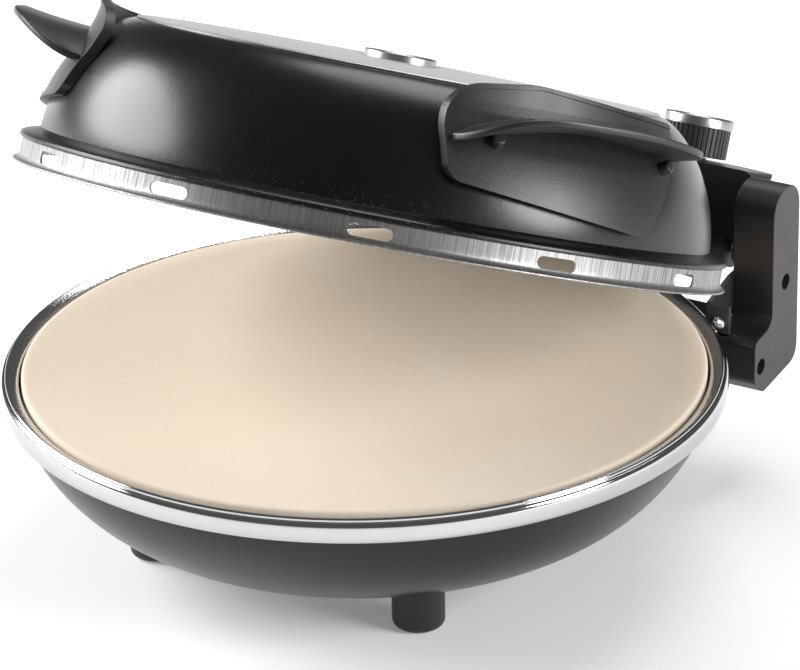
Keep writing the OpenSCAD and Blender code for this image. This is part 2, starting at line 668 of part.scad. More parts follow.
handle_screw_at = [-15.4, 21.6];  // angles of the two screws from the handle's centre line
handle_screw_z = rim_h + 53;      // height of a screw head's seat on the dome's inside
handle_screw_r = dome_r - 11.4;   // distance of the seat from the lid's axis
handle_screw_rise = 28;           // angle at which a screw runs up and out
boss_r = 3;
boss_l = 9.4;

// A handle in its own frame: x runs along the dome towards the back, y outwards
module handle() difference() {
    union() {
        intersection() {
            rotate_extrude($fn = 180)
                polygon(concat(handle_section(handle_seat + handle_t),
                               reversed(handle_section(handle_seat))));
            rotate([-90, 0, 0]) mirror([0, 1, 0]) linear_extrude(far) polygon(handle_outline);
        }
        grip();
        intersection() {
            handle_screw_axes() cylinder(r = boss_r, h = boss_l, $fn = 32);
            rotate_extrude($fn = 180)
                polygon(concat([[dome_r + 20, dome_foot_z]], handle_section(handle_seat + 1),
                               [[dome_r + 20, rim_h + 86]]));
        }
    }
    handle_screw_axes() cylinder(r = screw_r + touch, h = boss_l - 1.2);
}

// Places a screw's axis on the dome's inside, pointing out through the plate into its boss
module handle_screw_axes()
    for (a = handle_screw_at) rotate([0, 0, -a]) translate([0, handle_screw_r, handle_screw_z])
        rotate([handle_screw_rise - 90, 0, 0]) children();

module at_handle(side) {
    mirror([side < 0 ? 1 : 0, 0, 0]) rotate([0, 0, handle_angle - 180])
        mirror([1, 0, 0]) children();
}

module handle_right() color([0.13, 0.13, 0.14]) on_lid() at_handle(1) handle();
module handle_left() color([0.13, 0.13, 0.14]) on_lid() at_handle(-1) handle();

module handle_screws() color([0.4, 0.4, 0.4]) on_lid()
    for (side = [-1, 1]) at_handle(side)
        handle_screw_axes() mirror([0, 0, 1]) pan_screw(boss_l - 1.4, screw_r, 3.4, 2.2);

// ---------------------------------------------------------------- rear housing

// The housing's outline from the front and from above, drawn in by inset
module housing_front_view(inset) {
    polygon(rounded([[-housing_x + inset, housing_z0 - inset], [housing_x - inset, housing_z0 - inset],
                     [housing_x - inset, housing_z1 - inset],
                     [-housing_x + inset, housing_z1 - inset]],
                    [0.1, 0.1, housing_r - inset * 0.8, housing_r - inset * 0.8]));
}

module housing_plan(inset) {
    polygon(rounded([[-housing_x + inset, housing_front + inset],
                     [housing_x - inset, housing_front + inset],
                     [housing_x - inset, housing_back - inset],
                     [-housing_x + inset, housing_back - inset]],
                    [0.4, 0.4, housing_corner_r - inset, housing_corner_r - inset], 10));
}

module housing_solid(inset) intersection() {
    translate([0, housing_back + 1, 0]) rotate([90, 0, 0])
        linear_extrude(housing_back - housing_front + 2) housing_front_view(inset);
    translate([0, 0, housing_z0 - 5]) linear_extrude(housing_z1) housing_plan(inset);
}

cover_t = 2;
cover_posts = [for (sx = [-1, 1], p = [[40, housing_front + 9],
                                       [housing_x - 21, housing_back - 17]])
    [sx * p[0], p[1]]];
cheek_x = [housing_x - 29, ear_x - bracket_t - 3.4];
cheek_r = 11;
strap_z = [rim_h + 26, rim_h + 44];
strap_screw_x = 52;
strap_reach = 15.5;               // from the housing's front in to the screws' seats
strap_screw_z = rim_h + 35;

// Axis of a screw from inside the dome to the strap, pointing backwards
module strap_axes()
    for (s = [-1, 1]) translate([s * strap_screw_x, 0, strap_screw_z]) rotate([-90, 0, 0])
        translate([0, 0, housing_front - strap_reach]) children();

module dome_solid(grow) rotate_extrude($fn = 180)
    polygon(concat([[0, dome_foot_z]], dome_curve(-grow), [[0, dome_top_z]]));

// The cheek that covers a hinge ear under the housing
module cheek() translate([cheek_x[0], 0, 0]) rotate([90, 0, 90])
    linear_extrude(cheek_x[1] - cheek_x[0])
        polygon(rounded([[hinge_y - cheek_r, housing_z0 + 1], [hinge_y + cheek_r, housing_z0 + 1],
                         [hinge_y + cheek_r, hinge_z - cheek_r],
                         [hinge_y - cheek_r, hinge_z - cheek_r]],
                        [0.2, 0.2, cheek_r * 0.95, cheek_r * 0.95]));

module rear_housing() color([0.05, 0.05, 0.05]) on_lid()
    difference() {
        union() {
            difference() {
                housing_solid(0);
                housing_solid(housing_wall);
            }
            for (p = cover_posts) translate([p[0], p[1], housing_z0 + cover_t + touch])
                cylinder(r = 4, h = housing_z1 - housing_z0 - cover_t - 1);
            translate([timer_x, timer_y, housing_z1 - eps]) cylinder(r = 7, h = 1.2);
            both_sides() cheek();
            difference() {
                strap_axes() cylinder(r = 5, h = strap_reach + housing_wall / 2);
                dome_solid(touch);
            }
        }
        for (p = cover_posts) translate([p[0], p[1], housing_z0]) cylinder(r = screw_r, h = 16);
        translate([timer_x, timer_y, housing_z1 - 10])
            cylinder(r = spindle_d / 2 + 0.4, h = 20);
        strap_axes() cylinder(r = screw_r + 0.2, h = strap_reach + 10);
        both_sides() translate([housing_x - housing_wall - 1, hinge_y, hinge_z])
            rotate([0, 90, 0]) cylinder(r = pin_r + 1, h = housing_wall + 2);
        translate([gland_x, housing_back + 1, gland_z]) rotate([90, 0, 0])
            cylinder(r = gland_r + touch, h = housing_wall + 2);
        hinge_ears(2 * touch);
    }

module housing_cover() color([0.08, 0.08, 0.08]) on_lid()
    difference() {
        translate([0, 0, housing_z0]) linear_extrude(cover_t) difference() {
            housing_plan(housing_wall + gap);
            both_sides() translate([cheek_x[0] - gap, 0]) square([far, hinge_y + cheek_r + gap]);
        }
        for (p = cover_posts) translate([p[0], p[1], housing_z0 - 1])
            cylinder(r = screw_r + 0.2, h = cover_t + 2);
        for (k = [-6:6]) translate([k * 9 - 1.5, housing_front + 17, housing_z0 - 1])
            cube([3, 20, cover_t + 2]);
    }

module cover_screws() color([0.6, 0.6, 0.6]) on_lid()
    for (p = cover_posts) translate([p[0], p[1], housing_z0 - touch]) mirror([0, 0, 1])
        pan_screw(14, screw_r - touch, 3.4, 2.2);

strap_y = housing_front + housing_wall + 2 * touch;
ear_y = [min(strap_y, hinge_y - ear_r + 1), max(hinge_y, strap_y) + ear_r];

// The strap's two ears, grown on all sides for the slots they stand in
module hinge_ears(grow)
    both_sides() translate([ear_x - bracket_t - grow, 0, 0]) rotate([90, 0, 90])
        linear_extrude(bracket_t + 2 * grow) offset(delta = grow)
            polygon(rounded([[ear_y[0], strap_z[1]], [ear_y[1], strap_z[1]],
                             [ear_y[1], hinge_z - ear_r], [ear_y[0], hinge_z - ear_r]],
                            [0.5, 4, ear_r * 0.9, 5]));

// Steel strap inside the housing, with an ear at each end that turns on the pin
module lid_hinge_bracket() color([0.1, 0.1, 0.1]) on_lid()
    difference() {
        union() {
            translate([-ear_x + 0.5, strap_y, strap_z[0]])
                cube([2 * ear_x - 1, bracket_t, strap_z[1] - strap_z[0]]);
            hinge_ears(0);
        }
        both_sides() translate([ear_x - bracket_t - 1, hinge_y, hinge_z]) rotate([0, 90, 0])
            cylinder(r = pin_r + pin_fit, h = bracket_t + 2);
        strap_axes() cylinder(r = screw_r + touch, h = strap_reach + 10);
    }

module strap_screws() color([0.6, 0.6, 0.6]) on_lid()
    strap_axes() mirror([0, 0, 1])
        pan_screw(strap_reach + housing_wall + bracket_t + 2, screw_r, 3.4, 2.2);

gland_x = -58;
gland_z = housing_z0 + 13;
gland_r = 7;

// The cord's entry: a collar in the housing's back wall
module cord_gland() color([0.05, 0.05, 0.05]) on_lid()
    translate([gland_x, housing_back, gland_z]) rotate([90, 0, 0])
        rotate_extrude($fn = 48)
            polygon([[3.6, -4], [6.2, -4], [gland_r + 1.6, -2.6], [gland_r + 1.6, -touch],
                     [gland_r, -touch], [gland_r, housing_wall + 4], [3.6, housing_wall + 4]]);

// ---------------------------------------------------------------- controls

thermostat_r = 15;
thermostat_foot = [44, 14, 4];
timer_case = [40, 34, 14];

module thermostat() color([0.85, 0.83, 0.78]) on_lid()
    difference() {
        union() {
            translate([0, 0, reflector_top_z + 2])
                cylinder(r = thermostat_r, h = cup_z - touch - reflector_top_z - 2);
            translate([-thermostat_foot[0] / 2, -thermostat_foot[1] / 2, reflector_top_z + touch])
                cube(thermostat_foot);
        }
        translate([0, 0, reflector_top_z + 6]) cylinder(r = spindle_d / 2 + pin_fit, h = 40);
    }

module timer_drive() color([0.75, 0.75, 0.72]) on_lid()
    difference() {
        translate([timer_x - timer_case[0] / 2, timer_y - timer_case[1] / 2,
                   housing_z1 - housing_wall - touch - timer_case[2]])
            cube(timer_case);
        translate([timer_x, timer_y, housing_z1 - housing_wall - 10])
            cylinder(r = spindle_d / 2 + pin_fit, h = 20);
    }

// A knob's ribbed skirt with its bore for the spindle, from z = 0 up
module knob_body(h) difference() {
    linear_extrude(h) difference() {
        circle(r = knob_r - 0.5);
        for (k = [0:knob_ribs - 1]) rotate([0, 0, 360 * k / knob_ribs])
            translate([knob_r - 0.5, 0]) circle(r = 0.55, $fn = 12);
    }
    translate([0, 0, -1]) cylinder(r = spindle_d / 2 + touch, h = h - 1.4);
}

// The bright cap ring that closes a knob's top
module knob_ring() rotate_extrude($fn = 96)
    polygon([[0, touch], [knob_r - 0.2, touch], [knob_r, 0.3], [knob_r, knob_ring_h - 0.4],
             [knob_r - 0.4, knob_ring_h], [knob_r - 1.6, knob_ring_h],
             [knob_r - 2.2, knob_ring_h - 0.6], [0, knob_ring_h - 0.6]]);

module spindle(l) difference() {
    cylinder(r = spindle_d / 2, h = l);
    translate([spindle_d * 0.3, -5, l - 5]) cube([5, 10, 6]);
}

module centre_knob_body() color([0.07, 0.07, 0.08]) on_lid()
    translate([0, 0, centre_ring_z - centre_knob_h]) knob_body(centre_knob_h);
module centre_knob_ring() color([0.85, 0.85, 0.86]) on_lid()
    translate([0, 0, centre_ring_z]) knob_ring();
module centre_spindle() color([0.7, 0.7, 0.7]) on_lid()
    translate([0, 0, reflector_top_z + 6.3])
        spindle(centre_ring_z - 2.7 - reflector_top_z - 6.3);
module timer_knob_body() color([0.07, 0.07, 0.08]) on_lid()
    translate([timer_x, timer_y, timer_base_z]) knob_body(timer_knob_h);
module timer_knob_ring() color([0.85, 0.85, 0.86]) on_lid()
    translate([timer_x, timer_y, timer_base_z + timer_knob_h]) knob_ring();
module timer_spindle() color([0.7, 0.7, 0.7]) on_lid()
    translate([timer_x, timer_y, housing_z1 - housing_wall - 9.7])
        spindle(timer_base_z + timer_knob_h - 2.7 - housing_z1 + housing_wall + 9.7);

base_bowl();
trim_ring();
baking_stone();
lower_reflector();
lower_element();
lower_element_posts();
lower_insulators();
foot_front_left();
foot_front_right();
foot_rear_left();
foot_rear_right();
foot_screws();
hinge_bracket();
bracket_spacers();
bracket_screws();
arm_left();
arm_right();
arm_screws();
hinge_pins();
lid_dome();
lid_band();
lid_plate();
upper_reflector();
upper_element();
upper_element_hangers();
upper_insulators();
handle_left();
handle_right();
handle_screws();
rear_housing();
housing_cover();
cover_screws();
lid_hinge_bracket();
strap_screws();
cord_gland();
thermostat();
timer_drive();
centre_knob_body();
centre_knob_ring();
centre_spindle();
timer_knob_body();
timer_knob_ring();
timer_spindle();
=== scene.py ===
"""Dresses the electric pizza maker: its finishes, its fine pieces, and the studio round it."""

import json
import logging
import math
from collections.abc import Iterator
from contextlib import contextmanager
from dataclasses import dataclass
from enum import Enum

import bpy
from mathutils import Matrix, Quaternion, Vector

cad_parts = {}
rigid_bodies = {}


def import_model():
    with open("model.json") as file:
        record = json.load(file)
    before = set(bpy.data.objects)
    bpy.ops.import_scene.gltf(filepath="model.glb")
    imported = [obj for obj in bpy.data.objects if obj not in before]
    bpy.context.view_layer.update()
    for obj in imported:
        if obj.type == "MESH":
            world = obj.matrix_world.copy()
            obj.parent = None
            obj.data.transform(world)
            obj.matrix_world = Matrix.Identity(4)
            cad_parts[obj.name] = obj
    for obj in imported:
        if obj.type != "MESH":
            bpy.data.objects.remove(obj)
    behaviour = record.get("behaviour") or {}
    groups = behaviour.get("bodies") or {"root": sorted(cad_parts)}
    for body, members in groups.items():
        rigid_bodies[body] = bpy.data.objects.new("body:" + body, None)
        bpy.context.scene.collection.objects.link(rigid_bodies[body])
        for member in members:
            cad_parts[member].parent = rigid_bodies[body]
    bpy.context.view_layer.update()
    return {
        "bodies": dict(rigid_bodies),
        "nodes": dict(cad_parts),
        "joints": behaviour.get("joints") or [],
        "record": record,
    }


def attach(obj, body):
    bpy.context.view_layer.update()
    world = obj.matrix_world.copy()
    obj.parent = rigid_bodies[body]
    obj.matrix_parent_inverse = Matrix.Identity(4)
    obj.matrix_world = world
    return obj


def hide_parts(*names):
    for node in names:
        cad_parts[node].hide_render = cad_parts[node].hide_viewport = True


LOG = logging.getLogger("pizza_maker")
MM = 0.001

Colour = tuple[float, float, float]
Place = tuple[float, float, float]
Profile = list[tuple[float, float]]
Piece = bpy.types.Object
Material = bpy.types.Material
Node = bpy.types.Node
NodeTree = bpy.types.NodeTree
Outputs = bpy.types.NodeOutputs
Socket = bpy.types.NodeSocket


# ---------------------------------------------------------------- nodes


class Tree:
    """A thin wrapper round a node tree that adds, fills and links nodes in one call."""

    def __init__(self, tree: NodeTree) -> None:
        """Keeps the node tree."""
        self.tree = tree

    def fill(self, node: Node, inputs: dict[str | int, object]) -> None:
        """Links sockets to a node's inputs, and sets the inputs that are given values.

        Args:
            node: the node.
            inputs: a socket, number, vector or colour by each input's name or number.
        """
        for key, value in inputs.items():
            target = node.inputs[key]
            if isinstance(value, Socket):
                self.tree.links.new(value, target)
            else:
                target.default_value = (*value, 1.0) if target.type == "RGBA" else value

    def add(self, kind: str, inputs: dict[str | int, object] | None = None,
            **values: object) -> Node:
        """Adds a node.

        Args:
            kind: the node's type name, such as "ShaderNodeMath".
            inputs: what its inputs are given, by name or number.
            **values: properties of the node to set.

        Returns:
            The new node.
        """
        node = self.tree.nodes.new(kind)
        for name, value in values.items():
            setattr(node, name, value)
        self.fill(node, inputs or {})
        return node

    def math(self, operation: str, *values: object) -> Socket:
        """Adds a Math node on sockets or numbers and returns its result."""
        return self.add("ShaderNodeMath", dict(enumerate(values)), operation=operation).outputs[0]

    def times(self, first: object, second: object) -> Socket:
        """Returns the product of two sockets or numbers."""
        return self.math("MULTIPLY", first, second)

    def plus(self, base: object, mask: Socket, amount: float) -> Socket:
        """Returns the base with the amount added where the mask is 1."""
        return self.math("ADD", base, self.times(mask, amount))

    def ramp(self, value: Socket, low: float, high: float) -> Socket:
        """Maps a value from low..high to 0..1 with a smooth step."""
        return self.add("ShaderNodeMapRange", {"Value": value, "From Min": low, "From Max": high},
                        interpolation_type="SMOOTHSTEP").outputs["Result"]

    def mix(self, factor: object, first: object, second: object) -> Socket:
        """Mixes two colours, each a socket or a colour."""
        return self.add("ShaderNodeMix", {0: factor, 6: first, 7: second},
                        data_type="RGBA").outputs[2]

    def noise(self, vector: Socket, scale: object, detail: float,
              roughness: float = 0.55) -> Socket:
        """Adds a noise texture and returns its value."""
        return self.add("ShaderNodeTexNoise", {"Vector": vector, "Scale": scale, "Detail": detail,
                                               "Roughness": roughness}).outputs["Fac"]

    def cells(self, vector: Socket, scale: object, feature: str) -> Outputs:
        """Adds a Voronoi texture and returns its outputs."""
        return self.add("ShaderNodeTexVoronoi", {"Vector": vector, "Scale": scale},
                        feature=feature).outputs


class Effect(Enum):
    """The surface effects that several finishes share, each a node group."""

    GRAIN = "moulded grain"
    SPECKLE = "metallic speckle"
    BRUSHING = "brushing round the axis"
    SMUDGE = "handling smudges"
    ORANGE_PEEL = "sprayed lacquer"


class Group(Tree):
    """An effect's node group, with named inputs and outputs."""

    def __init__(self, effect: Effect, inputs: dict[str, float], outputs: tuple[str, ...]) -> None:
        """Starts the group.

        Args:
            effect: the effect, whose value is the group's name.
            inputs: the names and default values of its inputs.
            outputs: the names of its outputs.
        """
        super().__init__(bpy.data.node_groups.new(effect.value, "ShaderNodeTree"))
        sockets = self.tree.interface
        sockets.new_socket("Vector", in_out="INPUT", socket_type="NodeSocketVector")
        for title, value in inputs.items():
            socket = sockets.new_socket(title, in_out="INPUT", socket_type="NodeSocketFloat")
            socket.default_value = value
        for title in outputs:
            sockets.new_socket(title, in_out="OUTPUT", socket_type="NodeSocketFloat")
        self.start = self.add("NodeGroupInput").outputs
        self.end = self.add("NodeGroupOutput")

    def give(self, outputs: dict[str, Socket]) -> NodeTree:
        """Links the outputs and returns the finished group."""
        self.fill(self.end, outputs)
        return self.tree


class EffectLibrary:
    """Builds each effect's node group once."""

    def __init__(self) -> None:
        """Builds each group by the method that has its effect's name."""
        self.groups = {effect: getattr(self, effect.name.lower())() for effect in Effect}

    @staticmethod
    def grain() -> NodeTree:
        """Makes the fine pits of a spark-eroded mould.

        Returns:
            The group: a height and a tone mask.
        """
        group = Group(Effect.GRAIN, {"Scale": 1800.0}, ("Height", "Tone"))
        vector, scale = group.start["Vector"], group.start["Scale"]
        fine = group.noise(vector, scale, 3.0, 0.65)
        pits = group.cells(vector, scale, "SMOOTH_F1")["Distance"]
        return group.give({"Height": group.plus(group.times(fine, 0.6), pits, 0.5),
                           "Tone": group.ramp(group.noise(vector, 22.0, 4.0), 0.35, 0.7)})

    @staticmethod
    def speckle() -> NodeTree:
        """Makes the sparse bright flecks that metallic paint or grit shows.

        Returns:
            The group: a mask and a height.
        """
        group = Group(Effect.SPECKLE, {"Scale": 900.0, "Density": 0.3}, ("Mask", "Height"))
        cells = group.cells(group.start["Vector"], group.start["Scale"], "F1")
        chance = group.add("ShaderNodeSeparateColor", {"Color": cells["Color"]}).outputs
        chosen = group.math("LESS_THAN", chance[0], group.start["Density"])
        inside = group.math("LESS_THAN", cells["Distance"], group.plus(0.08, chance[1], 0.35))
        return group.give({"Mask": group.times(chosen, inside), "Height": cells["Distance"]})

    @staticmethod
    def brushing() -> NodeTree:
        """Makes the streaks of a brushed sheet, long along the third coordinate.

        Returns:
            The group: the streaks and a slow cloud.
        """
        group = Group(Effect.BRUSHING, {"Scale": 1.0, "Stretch": 40.0}, ("Streak", "Cloud"))
        vector, scale = group.start["Vector"], group.start["Scale"]
        along = group.math("DIVIDE", scale, group.start["Stretch"])
        parts = group.add("ShaderNodeCombineXYZ", {"X": scale, "Y": scale, "Z": along})
        squeezed = group.add("ShaderNodeVectorMath", {0: vector, 1: parts.outputs["Vector"]},
                             operation="MULTIPLY").outputs["Vector"]
        fine = group.noise(squeezed, 1500.0, 2.0, 0.7)
        wide = group.noise(squeezed, 420.0, 3.0, 0.6)
        return group.give({"Streak": group.plus(group.times(fine, 0.75), wide, 0.25),
                           "Cloud": group.noise(vector, 18.0, 3.0)})

    @staticmethod
    def smudge() -> NodeTree:
        """Makes soft patches where the surface is a little duller.

        Returns:
            The group: a mask.
        """
        group = Group(Effect.SMUDGE, {"Scale": 14.0}, ("Mask",))
        patches = group.noise(group.start["Vector"], group.start["Scale"], 5.0, 0.6)
        return group.give({"Mask": group.ramp(patches, 0.42, 0.72)})

    @staticmethod
    def orange_peel() -> NodeTree:
        """Makes the faint waviness of a sprayed coat.

        Returns:
            The group: a height.
        """
        group = Group(Effect.ORANGE_PEEL, {"Scale": 420.0}, ("Height",))
        waves = group.noise(group.start["Vector"], group.start["Scale"], 1.0, 0.4)
        return group.give({"Height": waves})


# ---------------------------------------------------------------- finishes


class Space(Enum):
    """The frame that a pattern is drawn in."""

    BASE = "base"
    LID = "lid"


@dataclass(frozen=True)
class LidFrame:
    """Where the lid's hinge is and how far the lid stands open, in the row's frame."""

    hinge_y: float
    hinge_z: float
    open_deg: float

    def to_closed(self) -> Matrix:
        """Returns the matrix that turns the lid from its open place to closed."""
        about = Matrix.Translation(Vector((0, self.hinge_y, self.hinge_z)))
        return about @ Matrix.Rotation(math.radians(self.open_deg), 4, "X") @ about.inverted()

    def to_open(self) -> Matrix:
        """Returns the matrix that turns the lid from closed to its open place."""
        return self.to_closed().inverted()


@dataclass(frozen=True)
class Dresser:
    """What every finish needs: the shared node groups, and the frame of patterns on the lid."""

    effects: EffectLibrary
    lid: LidFrame


class Coat(Tree):
    """A material in the making, whose coordinates lie still on the piece that wears it."""

    def __init__(self, dresser: Dresser, name: str, space: Space) -> None:
        """Starts the material.

        Args:
            dresser: holds the node groups and the lid's frame.
            name: the material's name.
            space: the frame that its coordinates are turned into.
        """
        self.material = bpy.data.materials.new(name)
        self.material.use_nodes = True
        super().__init__(self.material.node_tree)
        self.groups = dresser.effects.groups
        self.shader = self.tree.nodes["Principled BSDF"]
        self.vector = self.add("ShaderNodeTexCoord").outputs["Object"]
        if space is Space.LID:
            turn = dresser.lid.to_closed()
            self.turn(turn.to_euler("XYZ"), turn.to_translation())

    def turn(self, rotation: Place, location: Place = (0, 0, 0)) -> None:
        """Turns and moves the coordinates."""
        self.vector = self.add("ShaderNodeMapping", {"Vector": self.vector, "Rotation": rotation,
                                                     "Location": location}).outputs["Vector"]

    def wrap(self, radius: float) -> None:
        """Makes the coordinates the way round the axis, the distance from it and the height.

        Args:
            radius: the radius at which the way round is true, in metres.
        """
        x, y, z = self.add("ShaderNodeSeparateXYZ", {"Vector": self.vector}).outputs
        around = self.times(self.math("ARCTAN2", y, x), radius)
        distance = self.math("SQRT", self.math("ADD", self.times(x, x), self.times(y, y)))
        self.vector = self.add("ShaderNodeCombineXYZ",
                               {"X": around, "Y": distance, "Z": z}).outputs["Vector"]

    def axis(self, number: int) -> Socket:
        """Returns one of the coordinates."""
        return self.add("ShaderNodeSeparateXYZ", {"Vector": self.vector}).outputs[number]

    def place(self, effect: Effect, **values: float) -> Outputs:
        """Places an effect.

        Args:
            effect: the effect.
            **values: the values of its named inputs.

        Returns:
            The effect's outputs.
        """
        inputs = {name.capitalize(): value for name, value in values.items()}
        return self.add("ShaderNodeGroup", {"Vector": self.vector} | inputs, label=effect.value,
                        node_tree=self.groups[effect]).outputs

    def shade(self, inputs: dict[str, object]) -> None:
        """Gives the shader its inputs."""
        self.fill(self.shader, inputs)

    def bump(self, height: Socket, strength: float, distance: float) -> None:
        """Feeds a height to the shader's normal through a Bump node."""
        node = self.add("ShaderNodeBump", {"Height": height, "Strength": strength,
                                           "Distance": distance})
        self.shade({"Normal": node.outputs["Normal"]})


@dataclass(frozen=True)
class Finish:
    """A finish, made anew for each node that wears it."""

    def make(self, dresser: Dresser, name: str, space: Space) -> Material:
        """Makes the material.

        Args:
            dresser: holds the node groups and the lid's frame.
            name: the material's name.
            space: the frame that its pattern follows.

        Returns:
            The material.
        """
        coat = Coat(dresser, name, space)
        self.paint(coat)
        return coat.material

    def paint(self, coat: Coat) -> None:
        """Gives the coat its colour, gloss and relief."""
        raise NotImplementedError


def grey(level: float) -> Colour:
    """Returns an even grey."""
    return (level, level, level)


def dimmed(colour: Colour, share: float) -> Colour:
    """Returns a share of a colour."""
    return tuple(share * value for value in colour)


@dataclass(frozen=True)
class Lacquer(Finish):
    """Baked black lacquer with metallic grit towards its lower edge."""

    colour: Colour = (0.003, 0.003, 0.0033)
    grit: Colour = (0.26, 0.26, 0.27)
    roughness: float = 0.26
    sheen: float = 0.45
    grit_from: float = 0.116
    grit_to: float = 0.102
    density: float = 0.11
    stray_density: float = 0.004

    def paint(self, coat: Coat) -> None:
        """Paints the black, the grit low down and a stray fleck elsewhere.

        Args:
            coat: the material in the making.
        """
        low = coat.ramp(coat.axis(2), self.grit_from, self.grit_to)
        fleck = coat.place(Effect.SPECKLE, scale=1900.0, density=self.density)
        stray = coat.place(Effect.SPECKLE, scale=1500.0, density=self.stray_density)
        mask = coat.math("MAXIMUM", coat.times(fleck["Mask"], low), coat.times(stray["Mask"], 0.2))
        smudge = coat.place(Effect.SMUDGE, scale=9.0)["Mask"]
        coat.shade({"Base Color": coat.mix(mask, self.colour, self.grit),
                    "Specular IOR Level": self.sheen,
                    "Roughness": coat.plus(coat.plus(self.roughness, smudge, 0.06), low, 0.06)})
        peel = coat.place(Effect.ORANGE_PEEL, scale=520.0)["Height"]
        relief = coat.plus(peel, coat.times(fleck["Height"], low), 1.5)
        coat.bump(relief, strength=0.25, distance=0.0001)


@dataclass(frozen=True)
class Polished(Finish):
    """Polished chrome or bright steel, worn inside a radius if it has one."""

    colour: Colour = (0.56, 0.56, 0.57)
    roughness: float = 0.08
    smudged: float = 0.07
    worn_within: float = 0.0

    def paint(self, coat: Coat) -> None:
        """Paints the metal, with soft smudges in its gloss.

        Args:
            coat: the material in the making.
        """
        smudge = coat.place(Effect.SMUDGE, scale=16.0)["Mask"]
        coat.shade({"Base Color": coat.mix(coat.times(smudge, 0.2), self.colour,
                                           dimmed(self.colour, 0.88)),
                    "Metallic": 1.0, "Roughness": coat.plus(self.roughness, smudge, self.smudged)})
        height = coat.times(coat.place(Effect.ORANGE_PEEL, scale=120.0)["Height"], 0.2)
        if self.worn_within:
            pits = coat.place(Effect.GRAIN, scale=900.0)["Height"]
            coat.wrap(self.worn_within)
            worn = coat.ramp(coat.axis(1), self.worn_within + 0.0002, self.worn_within - 0.0006)
            height = coat.plus(height, coat.times(pits, worn), 1.6)
        coat.bump(height, strength=0.3, distance=0.0002)


class Grain(Enum):
    """The way that a sheet is brushed, by the degrees that its coordinates are turned."""

    UPRIGHT = (0, 0, 0)
    ROUND = (0, 90, 0)
    STRAIGHT = (90, 0, 0)


@dataclass(frozen=True)
class Brushed(Finish):
    """Brushed sheet metal, with its streaks upright, round the axis or straight."""

    colour: Colour = (0.47, 0.467, 0.463)
    dark: Colour = (0.2, 0.197, 0.193)
    roughness: float = 0.36
    contrast: float = 0.85
    grain: Grain = Grain.UPRIGHT
    radius: float = 0.164

    def paint(self, coat: Coat) -> None:
        """Paints the metal and its streaks.

        Args:
            coat: the material in the making.
        """
        if self.grain is not Grain.STRAIGHT:
            coat.wrap(self.radius)
        if self.grain is not Grain.UPRIGHT:
            coat.turn([math.radians(angle) for angle in self.grain.value])
        brush = coat.place(Effect.BRUSHING, scale=1.0, stretch=45.0)
        streak = coat.ramp(brush["Streak"], 0.36, 0.66)
        cloud = coat.ramp(brush["Cloud"], 0.3, 0.7)
        shown = coat.times(streak, self.contrast)
        coat.shade({"Base Color": coat.mix(shown, self.colour, self.dark),
                    "Metallic": 1.0,
                    "Roughness": coat.plus(coat.plus(self.roughness, streak, 0.12), cloud, 0.05)})
        coat.bump(brush["Streak"], strength=0.12, distance=0.00006)


@dataclass(frozen=True)
class Moulded(Finish):
    """Moulded plastic or rubber with a fine eroded grain."""

    colour: Colour
    light: Colour
    roughness: float = 0.5
    grain: float = 0.35
    scale: float = 1700.0

    def paint(self, coat: Coat) -> None:
        """Paints the grain, and smudges in its gloss.

        Args:
            coat: the material in the making.
        """
        grain = coat.place(Effect.GRAIN, scale=self.scale)
        smudge = coat.place(Effect.SMUDGE, scale=20.0)["Mask"]
        tone = coat.plus(coat.times(grain["Tone"], 0.3), coat.ramp(grain["Height"], 0.35, 0.7), 0.7)
        coat.shade({"Base Color": coat.mix(tone, self.colour, self.light),
                    "Roughness": coat.plus(self.roughness, smudge, 0.08)})
        coat.bump(grain["Height"], strength=self.grain, distance=0.00012)


@dataclass(frozen=True)
class FiredStone(Finish):
    """Cream cordierite: a fine sandy grain with warm and pale clouds."""

    colour: Colour = (0.82, 0.7, 0.56)
    pale: Colour = (0.86, 0.77, 0.65)
    fleck: Colour = (0.62, 0.5, 0.38)
    roughness: float = 0.82

    def paint(self, coat: Coat) -> None:
        """Paints the clouds, the flecks and the sandy relief.

        Args:
            coat: the material in the making.
        """
        fleck = coat.place(Effect.SPECKLE, scale=520.0, density=0.1)["Mask"]
        smudge = coat.place(Effect.SMUDGE, scale=7.0)["Mask"]
        cloudy = coat.mix(coat.times(smudge, 0.7), self.colour, self.pale)
        coat.shade({"Base Color": coat.mix(coat.times(fleck, 0.35), cloudy, self.fleck),
                    "Roughness": self.roughness})
        coat.bump(coat.place(Effect.GRAIN, scale=900.0)["Height"], strength=0.3, distance=0.00015)


@dataclass(frozen=True)
class Glazed(Finish):
    """Glazed ceramic of the insulators, and other smooth moulded insulation."""

    colour: Colour = (0.86, 0.83, 0.76)
    roughness: float = 0.3

    def paint(self, coat: Coat) -> None:
        """Paints a slightly uneven glaze.

        Args:
            coat: the material in the making.
        """
        smudge = coat.place(Effect.SMUDGE, scale=60.0)["Mask"]
        coat.shade({"Base Color": coat.mix(smudge, self.colour, dimmed(self.colour, 0.92)),
                    "Roughness": self.roughness})
        peel = coat.place(Effect.ORANGE_PEEL, scale=500.0)["Height"]
        coat.bump(peel, strength=0.2, distance=0.0001)


@dataclass(frozen=True)
class FiredTube(Finish):
    """The dark oxide of a tubular heating element."""

    colour: Colour = (0.16, 0.14, 0.13)
    bright: Colour = (0.34, 0.3, 0.27)
    roughness: float = 0.38
    metallic: float = 0.85

    def paint(self, coat: Coat) -> None:
        """Paints the oxide, with straw-coloured patches.

        Args:
            coat: the material in the making.
        """
        smudge = coat.place(Effect.SMUDGE, scale=40.0)["Mask"]
        coat.shade({"Base Color": coat.mix(smudge, self.colour, self.bright),
                    "Metallic": self.metallic,
                    "Roughness": coat.plus(self.roughness, smudge, 0.12)})
        coat.bump(coat.place(Effect.GRAIN, scale=2400.0)["Height"], strength=0.15, distance=0.00008)


